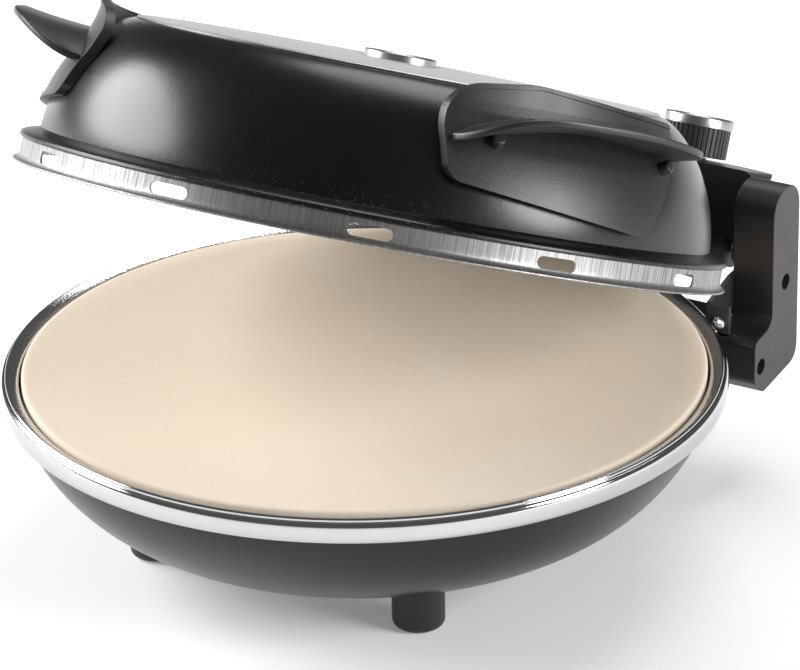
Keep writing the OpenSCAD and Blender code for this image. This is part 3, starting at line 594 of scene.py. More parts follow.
ZINC = Brushed(grey(0.6), grey(0.5), grain=Grain.STRAIGHT)
REFLECTOR = Brushed((0.72, 0.73, 0.74), (0.6, 0.61, 0.62), grain=Grain.ROUND, contrast=0.3)
STRAP = Moulded(grey(0.02), grey(0.03), roughness=0.4)
RUBBER = Moulded(grey(0.012), grey(0.02), roughness=0.42, grain=0.15)


# ---------------------------------------------------------------- modelling


SPIN_STEPS = 240
MERGE_M = 0.00001
SHARP_DEG = 32.0
SPUN_DEG = 40.0
ROLLED_DEG = 50.0
FLAT_DEG = 0.6
COPY_STEPS = 3
FACE_WEIGHT = 70
BOWL_BELL = (0.735, 1.465)
DOME_BELL = (1.243, 1.185)


def bell(foot: tuple[float, float], crown: tuple[float, float], powers: tuple[float, float],
         count: int = 56) -> Profile:
    """Draws a bell-shaped curve.

    Args:
        foot: the curve's start, (radius, height).
        crown: the curve's end, (radius, height).
        powers: how fast the radius draws in and how fast the height rises.
        count: the number of steps.

    Returns:
        The curve.
    """
    turns = [math.pi / 2 * index / count for index in range(count + 1)]
    return [(crown[0] + (foot[0] - crown[0]) * max(math.cos(turn), 0.0) ** powers[0],
             foot[1] + (crown[1] - foot[1]) * math.sin(turn) ** powers[1]) for turn in turns]


def rounded(points: Profile, radii: list[float], count: int = 10) -> Profile:
    """Rounds each corner of a closed outline.

    Args:
        points: the corners.
        radii: each corner's radius.
        count: the number of steps in a corner's arc.

    Returns:
        The rounded outline.
    """
    outline = []
    for index, radius in enumerate(radii):
        corner = Vector(points[index])
        before = (Vector(points[index - 1]) - corner).normalized()
        after = (Vector(points[(index + 1) % len(points)]) - corner).normalized()
        half = before.angle(after) / 2
        centre = corner + (before + after).normalized() * radius / math.sin(half)
        start = corner + before * radius / math.tan(half) - centre
        end = corner + after * radius / math.tan(half) - centre
        sweep = start.angle_signed(end)
        for step in range(count + 1):
            turn = -sweep * step / count
            outline.append((centre.x + start.x * math.cos(turn) - start.y * math.sin(turn),
                            centre.y + start.x * math.sin(turn) + start.y * math.cos(turn)))
    return outline


def eased(points: Profile, rounds: int = 2) -> Profile:
    """Cuts the corners of a closed outline; a corner that is given twice stays sharp.

    Args:
        points: the corners.
        rounds: how many times they are cut.

    Returns:
        The eased outline.
    """
    for _ in range(rounds):
        cut = []
        for (x, y), (u, v) in zip(points, points[1:] + points[:1]):
            cut += [(x * 0.75 + u * 0.25, y * 0.75 + v * 0.25),
                    (x * 0.25 + u * 0.75, y * 0.25 + v * 0.75)]
        points = cut
    return points


def twice(points: Profile) -> Profile:
    """Gives each corner twice, which keeps it sharp in an eased outline."""
    return [point for point in points for _ in range(2)]


def near(r: float, z: float, *steps: tuple[float, float]) -> Profile:
    """Returns the points at the given steps from a radius and a height."""
    return [(r + across, z + up) for across, up in steps]


class Bench:
    """The modelling operators, each used on one piece at a time."""

    @staticmethod
    def hold(piece: Piece) -> None:
        """Selects one piece alone and makes it active.

        Args:
            piece: the piece.
        """
        bpy.ops.object.select_all(action="DESELECT")
        piece.select_set(True)
        bpy.context.view_layer.objects.active = piece

    @classmethod
    @contextmanager
    def edit(cls, piece: Piece) -> Iterator[None]:
        """Holds a piece in edit mode, with all of it selected.

        Args:
            piece: the piece.
        """
        cls.hold(piece)
        bpy.ops.object.mode_set(mode="EDIT")
        bpy.ops.mesh.select_all(action="SELECT")
        yield
        bpy.ops.object.mode_set(mode="OBJECT")

    @staticmethod
    def add(name: str, points: list, edges: list, faces: list) -> Piece:
        """Adds a piece.

        Args:
            name: its name.
            points: its points, in millimetres.
            edges: its edges.
            faces: its faces.

        Returns:
            The piece.
        """
        mesh = bpy.data.meshes.new(name)
        mesh.from_pydata([tuple(MM * value for value in point) for point in points], edges, faces)
        piece = bpy.data.objects.new(name, mesh)
        bpy.context.scene.collection.objects.link(piece)
        return piece

    @classmethod
    def merge(cls, piece: Piece, dissolve_deg: float = 0.0, sliver: float = 0.0) -> None:
        """Merges doubles, joins flat faces where asked, and turns the faces outwards.

        Args:
            piece: the piece.
            dissolve_deg: the angle under which neighbouring faces are joined.
            sliver: the width in millimetres under which a face is taken out.
        """
        with cls.edit(piece):
            bpy.ops.mesh.remove_doubles(threshold=MERGE_M)
            if dissolve_deg:
                bpy.ops.mesh.dissolve_limited(angle_limit=math.radians(dissolve_deg))
            bpy.ops.mesh.select_all(action="SELECT")
            if sliver:
                bpy.ops.mesh.dissolve_degenerate(threshold=sliver * MM)
                bpy.ops.mesh.select_all(action="SELECT")
            bpy.ops.mesh.normals_make_consistent(inside=False)

    @classmethod
    def smooth(cls, piece: Piece, angle_deg: float = SHARP_DEG) -> Piece:
        """Shades a piece smooth.

        Args:
            piece: the piece.
            angle_deg: the angle over which an edge stays sharp.

        Returns:
            The piece.
        """
        cls.hold(piece)
        bpy.ops.object.shade_smooth_by_angle(angle=math.radians(angle_deg))
        return piece

    @classmethod
    def spin(cls, name: str, outline: Profile, steps: int = SPIN_STEPS) -> Piece:
        """Spins a closed outline of (radius, height) round the z axis.

        Args:
            name: the piece's name.
            outline: the outline, in millimetres.
            steps: the number of steps in the full turn.

        Returns:
            The piece.
        """
        count = len(outline)
        piece = cls.add(name, [(r, 0, z) for r, z in outline],
                        [(k, (k + 1) % count) for k in range(count)], [])
        with cls.edit(piece):
            bpy.ops.mesh.spin(steps=steps, angle=2 * math.pi, center=(0, 0, 0), axis=(0, 0, 1))
        cls.merge(piece)
        return piece

    @classmethod
    def prism(cls, name: str, outline: Profile, low: float, high: float) -> Piece:
        """Extrudes an outline of (x, z) along y.

        Args:
            name: the piece's name.
            outline: the outline, in millimetres.
            low: where it starts.
            high: where it ends.

        Returns:
            The piece.
        """
        piece = cls.add(name, [(x, low, z) for x, z in outline], [], [tuple(range(len(outline)))])
        move = {"value": (0, (high - low) * MM, 0)}
        with cls.edit(piece):
            bpy.ops.mesh.extrude_region_move(TRANSFORM_OT_translate=move)
        cls.merge(piece)
        return piece

    @classmethod
    def modify(cls, piece: Piece, kind: str, **values: object) -> None:
        """Adds a modifier and applies it.

        Args:
            piece: the piece.
            kind: the modifier's type.
            **values: the modifier's properties.
        """
        cls.hold(piece)
        modifier = piece.modifiers.new(kind.lower(), kind)
        for name, value in values.items():
            setattr(modifier, name, value)
        bpy.ops.object.modifier_apply(modifier=modifier.name)

    @classmethod
    def mould(cls, piece: Piece, radius: float, segments: int,
              angle_deg: float = SHARP_DEG) -> None:
        """Rounds a moulding's edges and shades it so that its flat faces stay flat.

        Args:
            piece: the piece.
            radius: the edges' radius, in millimetres.
            segments: the number of steps in a rounded edge.
            angle_deg: the angle over which an edge is rounded.
        """
        cls.modify(piece, "BEVEL", width=radius * MM, segments=segments, limit_method="ANGLE",
                   angle_limit=math.radians(angle_deg), use_clamp_overlap=True)
        cls.smooth(piece, angle_deg)
        cls.modify(piece, "WEIGHTED_NORMAL", weight=FACE_WEIGHT, keep_sharp=True)

    @classmethod
    def combine(cls, piece: Piece, other: Piece, operation: str) -> None:
        """Joins, cuts or intersects a piece with another, which is used up."""
        cls.modify(piece, "BOOLEAN", object=other, operation=operation, solver="EXACT")
        bpy.data.objects.remove(other, do_unlink=True)


# ---------------------------------------------------------------- sub-assemblies


@dataclass
class Assembly:
    """A group of pieces that ride on one body."""

    body: str
    space: Space

    def finishes(self) -> dict[str, Finish]:
        """Returns each CAD node's finish."""
        raise NotImplementedError

    def build(self, lid: LidFrame) -> dict[str, Piece]:
        """Builds the pieces that stand for CAD nodes, by node, and opens what rides on the lid."""
        return {}

    def edge_radii(self) -> dict[str, float]:
        """Returns the nodes that are shown with rounded edges, and the radii in millimetres."""
        return {}

    def dress(self, frame: dict, dresser: Dresser) -> None:
        """Gives each CAD node its material, and puts the assembly's own pieces in their places.

        Args:
            dresser: what the finishes need.
        """
        for node, finish in self.finishes().items():
            self.wear(frame["nodes"][node], finish.make(dresser, f"{node} finish", self.space))
            LOG.info("dressed %s", node)
        for node, piece in (self.build(dresser.lid) | self.rounded_copies(frame)).items():
            self.wear(piece, frame["nodes"][node].data.materials[0])
            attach(piece, self.body)
            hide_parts(node)
            LOG.info("built %s: %d faces", piece.name, len(piece.data.polygons))

    @staticmethod
    def wear(piece: Piece, material: Material) -> None:
        """Gives a piece one material alone."""
        piece.data.materials.clear()
        piece.data.materials.append(material)

    def rounded_copies(self, frame: dict) -> dict[str, Piece]:
        """Copies nodes whose moulded edges are rounded.


        Returns:
            Each copy by its node's name.
        """
        copies = {}
        for node, radius in self.edge_radii().items():
            copies[node] = bpy.data.objects.new(f"{node}_moulded", frame["nodes"][node].data.copy())
            bpy.context.scene.collection.objects.link(copies[node])
            Bench.merge(copies[node], dissolve_deg=FLAT_DEG)
            Bench.mould(copies[node], radius, COPY_STEPS)
        return copies


@dataclass
class BaseAssembly(Assembly):
    """The bowl, rim, stone, feet and what the base holds; sizes in millimetres."""

    rim_r: float = 170.3
    rim_h: float = 86.0
    bowl_r: float = 163.8
    bowl_mouth_z: float = 76.0
    floor_r: float = 77.0
    floor_z: float = 17.7
    sheet: float = 1.0
    well_r: float = 161.2
    ledge_z: float = 76.2
    ledge: float = 9.0
    wear_r: float = 167.8
    stone_r: float = 160.4
    stone_z: tuple[float, float] = (76.5, 87.0)
    lug_place: Place = (114.54, 10.0, 130.4)
    lug_foot: float = 8.0
    lug_gap: float = 0.5
    lug_rise: float = 2.0

    def finishes(self) -> dict[str, Finish]:
        """Returns each CAD node's finish."""
        feet = [f"foot_{end}_{side}" for end in ("front", "rear") for side in ("left", "right")]
        return {
            "base_bowl": Lacquer(grit_from=-0.02, grit_to=-0.03),
            "trim_ring": Polished(worn_within=self.wear_r * MM),
            "baking_stone": FiredStone(),
            "lower_reflector": REFLECTOR,
            "lower_element": FiredTube(),
            "lower_element_posts": ZINC,
            "lower_insulators": Glazed(),
            "foot_screws": ZINC,
            **dict.fromkeys(feet, RUBBER),
        }

    def build(self, lid: LidFrame) -> dict[str, Piece]:
        """Builds the spun bowl, the rim and the stone."""
        return {"base_bowl": self.bowl(), "trim_ring": self.rim(), "baking_stone": self.stone()}

    def bowl_curve(self, inset: float) -> Profile:
        """Returns the bowl's wall, drawn in by inset."""
        return bell((self.bowl_r - inset, self.bowl_mouth_z), (self.floor_r, self.floor_z + inset),
                    BOWL_BELL)

    def bowl(self) -> Piece:
        """Spins the bowl, with the lip that the rim sits on.

        Returns:
            The bowl.
        """
        lip_z, lip_r, sheet = self.bowl_mouth_z + 1.6, self.rim_r - 2.4, self.sheet
        outline = [(self.bowl_r - sheet, lip_z + sheet), (lip_r, lip_z + sheet), (lip_r, lip_z),
                   (self.bowl_r, lip_z)]
        outline += self.bowl_curve(0) + [(0, self.floor_z), (0, self.floor_z + sheet)]
        outline += reversed(self.bowl_curve(sheet))
        return Bench.smooth(Bench.spin("bowl_shell", outline))

    def rim(self) -> Piece:
        """Spins the rolled rim ring and joins its two lugs for the hinge bracket.

        Returns:
            The ring.
        """
        out, top, mouth, well, ledge = (self.rim_r, self.rim_h, self.bowl_mouth_z, self.well_r,
                                        self.ledge_z)
        turned = twice(near(out, mouth, (-5.8, self.sheet), (-5.8, 0)))
        wall = near(out, mouth, (-1, 0), (0, 1.2))
        bead = near(out, top, (0.1, -5), (-0.3, -1.2), (-1.5, 0.1), (-2.2, -0.5), (-2.2, 1.1),
                    (-3, 1.7), (-3.9, 1.3))
        inside = near(well, top, (1.1, -0.9), (0, -2.2)) + near(well, ledge, (0, 1), (0, 0))
        foot = near(well, ledge, (-self.ledge, 0), (-self.ledge, -self.sheet),
                    (self.sheet, -self.sheet), (self.sheet, 1))
        lining = near(well, top, (self.sheet, -2.9))
        lining += near(out, top, (-3, 0.2), (-1.8, -1.8), (-1.4, -5))
        lining += near(out, mouth, (-1.4, self.sheet))
        piece = Bench.spin("rim_ring", eased(turned + wall + bead + inside + foot + lining))
        for side in (-1, 1):
            Bench.combine(piece, self.lug(side), "UNION")
        return Bench.smooth(piece, ROLLED_DEG)

    def lug(self, side: int) -> Piece:
        """Makes the lug that a side of the hinge bracket is screwed to.

        Args:
            side: 1 for the right and -1 for the left.

        Returns:
            The lug.
        """
        inner, wide, back = self.lug_place
        low, high, sheet = self.bowl_mouth_z, self.rim_h + self.lug_rise, self.sheet
        front, outer = back - self.lug_foot, back + sheet + self.lug_gap
        shape = [(front, low), (outer, low), (outer, high), (back, high), (back, low + sheet),
                 (front, low + sheet)]
        piece = Bench.prism("rim_lug", shape, inner, inner + wide)
        piece.data.transform(Matrix(((0, side, 0, 0), (1, 0, 0, 0), (0, 0, 1, 0), (0, 0, 0, 1))))
        Bench.merge(piece)
        return piece

    def stone(self) -> Piece:
        """Spins the stone, with its worn edge.

        Returns:
            The stone.
        """
        low, high = self.stone_z
        edge = near(self.stone_r, high, (0, -1.5), (-0.4, -0.5), (-1.4, 0), (-3, 0))
        outline = [(0, low), *near(self.stone_r, low, (-1, 0), (0, 1)), *edge, (0, high)]
        return Bench.smooth(Bench.spin("stone_disc", outline), ROLLED_DEG)


@dataclass
class HingeAssembly(Assembly):
    """The arms and the brackets that carry the lid."""

    arm_edge: float = 1.3

    def finishes(self) -> dict[str, Finish]:
        """Returns each CAD node's finish."""
        arm = Moulded((0.016, 0.0135, 0.013), (0.03, 0.026, 0.025), roughness=0.4)
        return {
            "hinge_bracket": STRAP,
            "bracket_spacers": ZINC,
            "bracket_screws": Polished(grey(0.75), roughness=0.18),
            "arm_left": arm,
            "arm_right": arm,
            "arm_screws": Polished(grey(0.3), roughness=0.25),
            "hinge_pins": ZINC,
        }

    def edge_radii(self) -> dict[str, float]:
        """Returns the arms, with their moulded edges' radius."""
        return {"arm_left": self.arm_edge, "arm_right": self.arm_edge}


@dataclass
class GripSizes:
    """A side grip in its own frame: s runs along the dome, y outwards, z up; in millimetres."""

    rim_h: float = 86.0
    dome_r: float = 157.0
    dome_foot: float = 19.0
    dome_top: tuple[float, float] = (121.8, 76.2)
    shoulder: float = 56.0
    angle_deg: float = 63.5
    width: float = 131.2
    middle: float = 3.3
    seat: float = 0.3
    thickness: float = 3.4
    raised: float = 0.7
    border: float = 2.4
    run_out: float = 12.0
    reach: float = 178.5
    rise: float = 71.2
    lip: float = 3.4
    root_y: float = 138.0
    hollow: float = 3.6

    def ends(self) -> tuple[float, float]:
        """Returns the plate's two ends along the dome."""
        return self.middle - self.width / 2, self.middle + self.width / 2

    def drawn(self, corners: Profile, radii: list[float]) -> Profile:
        """Returns an outline of (s, height over the rim), rounded and raised to its height."""
        return rounded([(s, self.rim_h + z) for s, z in corners], radii)

    def outline(self) -> Profile:
        """Returns the plate's outline of (s, z)."""
        front, back = self.ends()
        return self.drawn([(front, 76.6), (front + 0.35 * self.width, 82.4), (back - 3.5, 74.8),
                           (back, 62.5), (back - 0.205 * self.width, 24), (front, 36.6)],
                          [24, 40, 5, 4, 15, 7])

    def pocket(self) -> Profile:
        """Draws the outline inside the raised border, which runs out at the back.

        Returns:
            The outline of (s, z).
        """
        front, back = self.ends()
        edge, past = self.border, back + self.run_out
        return self.drawn([(front + edge, 75), (front + 0.35 * self.width, 80.6), (past, 71.5),
                           (past, 50), (back - 0.2 * self.width, 24 + edge),
                           (front + edge, 36.6 + edge)], [22, 40, 5, 4, 7, 5])

    def wall(self) -> Profile:
        """Draws the plate's section: the dome's wall, then the panel above its shoulder.

        Returns:
            The section of (radius, z).
        """
        foot = (self.dome_r, self.rim_h + self.dome_foot)
        dome = bell(foot, (self.dome_top[0], self.rim_h + self.dome_top[1]), DOME_BELL)
        panel = near(self.dome_r, self.rim_h, (-14.4, 61.5), (-17.4, 67), (-19.2, 72),
                     (-20.8, 79), (-22.2, 87))
        return [point for point in dome if point[1] < self.rim_h + self.shoulder] + panel

    def radius(self, z: float) -> float:
        """Returns the section's radius at a height.

        Args:
            z: the height.

        Returns:
            The radius.
        """
        wall = self.wall()
        for (r0, z0), (r1, z1) in zip(wall, wall[1:]):
            if z <= z1:
                return r0 + (r1 - r0) * max(z - z0, 0) / (z1 - z0)
        return wall[-1][0]

    def on_wall(self, s: float, z: float, inset: float) -> Vector:
        """Returns a point at s and z that stands inset outside the section."""
        radius = self.radius(z) + inset
        return Vector((s, math.sqrt(radius * radius - s * s), z))


def fall(turn: float, front: tuple[float, float], back: tuple[float, float]) -> float:
    """Returns how far a grip's line drops towards its ends.

    Args:
        turn: the sine of the angle round the grip, from -1 in front to 1 behind.
        front: the drop at the front end and its power.
        back: the drop at the back end and its power.

    Returns:
        The drop.
    """
    drop, power = front if turn < 0 else back
    return drop * abs(turn) ** power


@dataclass
class Grip:
    """Builds a side grip: its curved plate with a raised border, its visor and two bosses."""

    sizes: GripSizes
    rings: int = 56
    first_deg: float = 86.0
    grid: tuple[int, int] = (84, 52)
    overhang: float = 3.0
    low_z: float = 21.0
    high_z: float = 85.0
    through: tuple[float, float] = (60, 220)
    pocket_depth: float = 4.0
    boss_at: tuple[float, float] = (-15.4, 21.6)
    boss_place: tuple[float, float] = (-11.4, 53.0)
    boss_tilt: float = -62.0
    boss_steps: int = 40
    flat_deg: float = 0.3
    sliver: float = 0.05
    edge: float = 0.45
    edge_steps: int = 2
    sharp_deg: float = 38.0

    def slab(self, name: str, low: float, high: float) -> Piece:
        """Makes a slab that follows the section.

        Args:
            name: the piece's name.
            low: how far outside the section it starts.
            high: how far outside the section it ends.

        Returns:
            The slab.
        """
        size = self.sizes
        bpy.ops.object.select_all(action="DESELECT")
        columns, rows = self.grid
        bpy.ops.mesh.primitive_grid_add(x_subdivisions=columns, y_subdivisions=rows, size=1)
        piece = bpy.context.object
        piece.name = name
        front, back = size.ends()
        for vertex in piece.data.vertices:
            s = front - self.overhang + (vertex.co.x + 0.5) * (back - front + 2 * self.overhang)
            z = size.rim_h + self.low_z + (vertex.co.y + 0.5) * (self.high_z - self.low_z)
            vertex.co = MM * size.on_wall(s, z, low)
        Bench.merge(piece)
        Bench.modify(piece, "SOLIDIFY", thickness=(high - low) * MM, offset=self.side_of(piece),
                     use_even_offset=True)
        Bench.merge(piece)
        return piece

    @staticmethod
    def side_of(piece: Piece) -> float:
        """Returns the Solidify offset that thickens a sheet away from the lid's axis."""
        face = piece.data.polygons[len(piece.data.polygons) // 2]
        return 1.0 if face.normal.y > 0 else -1.0

    def trim(self, slab: Piece, name: str, outline: Profile) -> None:
        """Trims a slab to an outline of (s, z)."""
        Bench.combine(slab, Bench.prism(name, outline, *self.through), "INTERSECT")

    def plate(self) -> Piece:
        """Makes the plate, with its pocket sunk inside the raised border.

        Returns:
            The plate.
        """
        size = self.sizes
        outer = size.seat + size.thickness
        piece = self.slab("grip_plate", size.seat, outer + size.raised)
        self.trim(piece, "grip_outline", size.outline())
        pocket = self.slab("grip_pocket", outer, outer + self.pocket_depth)
        self.trim(pocket, "pocket_outline", size.pocket())
        Bench.combine(piece, pocket, "DIFFERENCE")
        return piece

    def ring(self, turn_deg: float) -> list[Vector]:
        """Draws one cross section of the visor, from its root out and back underneath.

        Args:
            turn_deg: the angle round the visor, from -90 in front to 90 behind.

        Returns:
            The section's points.
        """
        size = self.sizes
        sine, cosine = math.sin(math.radians(turn_deg)), math.cos(math.radians(turn_deg))
        half, top = size.width / 2, size.rim_h + size.rise
        s = size.middle + (half - 3.4) * sine
        root = size.on_wall(s, top - 0.5 - fall(sine, (14.5, 3.2), (7.4, 2.5)), size.seat + 1.7)
        under = size.on_wall(s, top - 7 - fall(sine, (11, 1.45), (5.5, 1.25)), size.seat + 1.7)
        edge = Vector((size.middle + (half - 1.9) * math.copysign(abs(sine) ** 0.645, sine),
                       size.root_y + (size.reach - size.root_y) * cosine,
                       top - fall(sine, (15.4, 3), (6.5, 1.3))))
        run = Vector((edge.x - root.x, edge.y - root.y, 0))
        length, ahead = run.length, run.normalized()
        bend = min(4.8, 0.45 * length)
        hollow = size.hollow * cosine ** 0.4
        points = [root + ahead * bend * share - Vector((0, 0, hollow * (1 - (1 - share) ** 2)))
                  for share in (0.0, 0.3, 0.5, 0.72, 1.0)]
        foot = root.z - hollow
        for share in (0.3, 0.65):
            height = foot + (edge.z - foot) * share - 0.5 * math.sin(math.pi * share)
            points.append(Vector((root.x, root.y, height))
                          + ahead * (bend + (length - bend - 1.4) * share))
        nose = ((1.4, 0.0), (0.6, 0.12), (0.12, 0.5), (0.0, 1.1), (0.05, 2.3), (0.35, 2.95),
                (1.0, 3.3), (1.9, size.lip))
        points += [edge - ahead * back - Vector((0, 0, drop)) for back, drop in nose]
        low = under.z + 0.6
        for share in (0.62, 0.3):
            height = low + (edge.z - size.lip - low) * share
            points.append(Vector((under.x, under.y, height)) + ahead * (4 + (length - 6) * share))
        return points + [under + ahead * 3.2 + Vector((0, 0, 0.35)), under]

    def visor(self) -> Piece:
        """Lofts the visor over the space for the fingers.

        Returns:
            The visor.
        """
        rings = [self.ring(-self.first_deg + 2 * self.first_deg * k / self.rings)
                 for k in range(self.rings + 1)]
        count = len(rings[0])
        faces = [(k * count + i, k * count + (i + 1) % count, (k + 1) * count + (i + 1) % count,
                  (k + 1) * count + i) for k in range(self.rings) for i in range(count)]
        last = self.rings * count
        faces += [tuple(range(count)), tuple(range(last + count - 1, last - 1, -1))]
        piece = Bench.add("grip_visor", [point for ring in rings for point in ring], [], faces)
        Bench.merge(piece)
        return piece

    def boss(self, turn_deg: float) -> Piece:
        """Makes the boss over one screw, with its domed end.

        Args:
            turn_deg: the screw's angle from the grip's middle.

        Returns:
            The boss.
        """
        outline = [(0, 2.5), (3, 2.5), (3, 8.6), (2.6, 9.2), (1.8, 9.5), (0, 9.5)]
        piece = Bench.spin("grip_boss", outline, self.boss_steps)
        out, up = self.boss_place
        place = Vector((0, self.sizes.dome_r + out, self.sizes.rim_h + up)) * MM
        piece.data.transform(Matrix.Rotation(math.radians(-turn_deg), 4, "Z")
                             @ Matrix.Translation(place)
                             @ Matrix.Rotation(math.radians(self.boss_tilt), 4, "X"))
        return piece

    def build(self, name: str, side: int, lid: LidFrame) -> Piece:
        """Builds the whole grip and sets it on its side of the open lid.

        Args:
            name: the piece's name.
            side: 1 for the right and -1 for the left.
            lid: the lid's frame.

        Returns:
            The piece.
        """
        piece = self.plate()
        Bench.combine(piece, self.visor(), "UNION")
        for turn_deg in self.boss_at:
            Bench.combine(piece, self.boss(turn_deg), "UNION")
        piece.name = name
        flip = Matrix.Diagonal((-1, 1, 1, 1))
        place = Matrix.Rotation(math.radians(self.sizes.angle_deg - 180), 4, "Z") @ flip
        piece.data.transform(lid.to_open() @ (flip @ place if side < 0 else place))
        Bench.merge(piece, dissolve_deg=self.flat_deg, sliver=self.sliver)
        Bench.mould(piece, self.edge, self.edge_steps, self.sharp_deg)
        return piece


@dataclass
class LidAssembly(Assembly):
    """The dome, its band and plate, the grips and the rear housing; sizes in millimetres."""

    flange_r: float = 165.9
    flange_h: float = 5.7
    dome_r: float = 157.0
    dome_top: tuple[float, float] = (121.8, 162.2)
    sheet: float = 1.0
    lip_z: float = 88.1
    band_r: float = 164.4
    lip_r: float = 167.3
    band_top: float = 99.3
    plate_r: float = 122.6
    plate_crown: float = 1.7
    cup_r: float = 18.8
    cup_z: float = 156.2
    spindle_r: float = 3.0
    slots: int = 12
    slot_shift_deg: float = 2.8
    slot: tuple[float, float] = (20.0, 5.6)
    cut: tuple[float, float] = (-180, -150)
    housing_edge: float = 3.0

    def finishes(self) -> dict[str, Finish]:
        """Lists the finishes of the lid's nodes.

        Returns:
            Each CAD node's finish.
        """
        grip = Moulded((0.014, 0.0135, 0.0155), (0.028, 0.0275, 0.031), roughness=0.37, grain=0.5,
                       scale=1200.0)
        housing = Moulded(grey(0.012), grey(0.018), roughness=0.36, grain=0.12, scale=2200.0)
        body = Glazed((0.78, 0.76, 0.7), roughness=0.5)
        zinc = ("upper_element_hangers", "handle_screws", "cover_screws", "strap_screws")
        return {
            "lid_dome": Lacquer(),
            "lid_band": Brushed((0.43, 0.427, 0.423), (0.16, 0.157, 0.153), roughness=0.38),
            "lid_plate": Brushed(grey(0.66), grey(0.55), grain=Grain.ROUND, radius=0.1,
                                 contrast=0.35, roughness=0.3),
            "upper_reflector": REFLECTOR,
            "upper_element": FiredTube(),
            "upper_insulators": Glazed(),
            "lid_hinge_bracket": STRAP,
            **dict.fromkeys(("handle_left", "handle_right"), grip),
            **dict.fromkeys(("rear_housing", "housing_cover", "cord_gland"), housing),
            **dict.fromkeys(("thermostat", "timer_drive"), body),
            **dict.fromkeys(zinc, ZINC),
        }

    def edge_radii(self) -> dict[str, float]:
        """Returns the housing, with its moulded edges' radius."""
        return {"rear_housing": self.housing_edge}

    def build(self, lid: LidFrame) -> dict[str, Piece]:
        """Builds the dome, band, plate and grips, closed, and opens them with the lid.

        Args:
            lid: the lid's frame.

        Returns:
            Each piece by the name of the node that it stands for.
        """
        pieces = {"lid_dome": self.dome(), "lid_band": self.band(), "lid_plate": self.plate()}
        for piece in pieces.values():
            piece.data.transform(lid.to_open())
        for name, side in (("right", 1), ("left", -1)):
            pieces[f"handle_{name}"] = Grip(GripSizes()).build(f"grip_{name}", side, lid)
        return pieces

    def dome_curve(self, inset: float) -> Profile:
        """Returns the dome's wall, drawn in by inset."""
        return bell((self.dome_r - inset, self.band_top + self.flange_h),
                    (self.dome_top[0], self.dome_top[1] - inset), DOME_BELL)

    def dome(self) -> Piece:
        """Spins the dome with its rolled flange.

        Returns:
            The dome.
        """
        top, crown_r = self.band_top, self.cup_r + 3
        flange = near(self.flange_r, top, (-4, 0), (-0.8, 0), (0, 0.6), (0, 1.6), (-0.5, 2.4),
                      (-1.8, 3.1), (-4, 3.7)) + near(self.dome_r, top, (3, 4.3), (1.3, 4.8))
        crown = near(crown_r, self.dome_top[1], (0, 0), (0, -self.sheet))
        inside = near(self.dome_r, top, (0.6, 3.9))
        inside += near(self.flange_r, top, (-4.4, 2.6), (-4, 1.6))
        outline = flange + self.dome_curve(0) + crown + self.dome_curve(self.sheet)[::-1] + inside
        return Bench.smooth(Bench.spin("dome_shell", outline), SPUN_DEG)

    def slot_angle(self, index: int) -> float:
        """Returns a slot's angle; the left half's slots start further round."""
        shifted = 0 < index <= self.slots / 2
        return 360 * index / self.slots - (0 if shifted else self.slot_shift_deg)

    def band(self) -> Piece:
        """Spins the band with its flared lip and cuts the steam slots.

        Returns:
            The band.
        """
        low, high = self.lip_z, self.band_top - 0.05
        lip = near(self.band_r, low, (0, 4.2), (0.4, 2.9))
        lip += near(self.lip_r, low, (-1.3, 1.5), (-0.3, 1.2), (0, 0.6), (-0.3, 0), (-1.5, 0.2))
        lip += near(self.band_r, low, (-0.5, 2), (-1, 4))
        skirt = [(self.band_r - 1, high - 1), (self.dome_r - 1, high - 1), (self.dome_r - 1, high)]
        outline = twice([(self.band_r, high)]) + lip + twice(skirt)
        piece = Bench.spin("band_shell", eased(outline))
        half, up = self.slot[0] / 2, self.slot[1] / 2
        middle = (low + self.band_top) / 2 + 0.4
        corners = [(-half, -up), (half, -up), (half, up), (-half, up)]
        shape = [(x, middle + z) for x, z in rounded(corners, [up - 0.01] * 4, 6)]
        for index in range(self.slots):
            cutter = Bench.prism("slot_cutter", shape, *self.cut)
            cutter.data.transform(Matrix.Rotation(math.radians(self.slot_angle(index)), 4, "Z"))
            Bench.combine(piece, cutter, "DIFFERENCE")
        return Bench.smooth(piece, SPUN_DEG)

    def plate(self) -> Piece:
        """Spins the crowned plate with its rolled edge and the cup for the knob.

        Returns:
            The plate.
        """
        base, floor = self.dome_top[1] + self.sheet, self.cup_z + self.sheet
        top = [(radius, base + self.plate_crown * (1 - (radius / self.plate_r) ** 2))
               for radius in (self.plate_r - 1.2, 118, 110, 100, 88, 76, 64, 52, 42, 32,
                              self.cup_r + 1.6)]
        edge = near(self.plate_r, base, (0, -self.sheet), (0.15, -0.6), (-0.35, -0.05))
        cup = near(self.cup_r, base + self.plate_crown, (0.5, -0.25), (0, -1.2))
        cup += near(self.cup_r, floor, (-0.4, 0)) + near(self.spindle_r, floor, (1, 0))
        cup += near(self.spindle_r, self.cup_z, (1, 0))
        cup += near(self.cup_r, self.cup_z, (self.sheet - 0.4, 0))
        under = [(radius, z - self.sheet) for radius, z in reversed(top)]
        return Bench.smooth(Bench.spin("top_plate", edge + top + cup + under), SPUN_DEG)


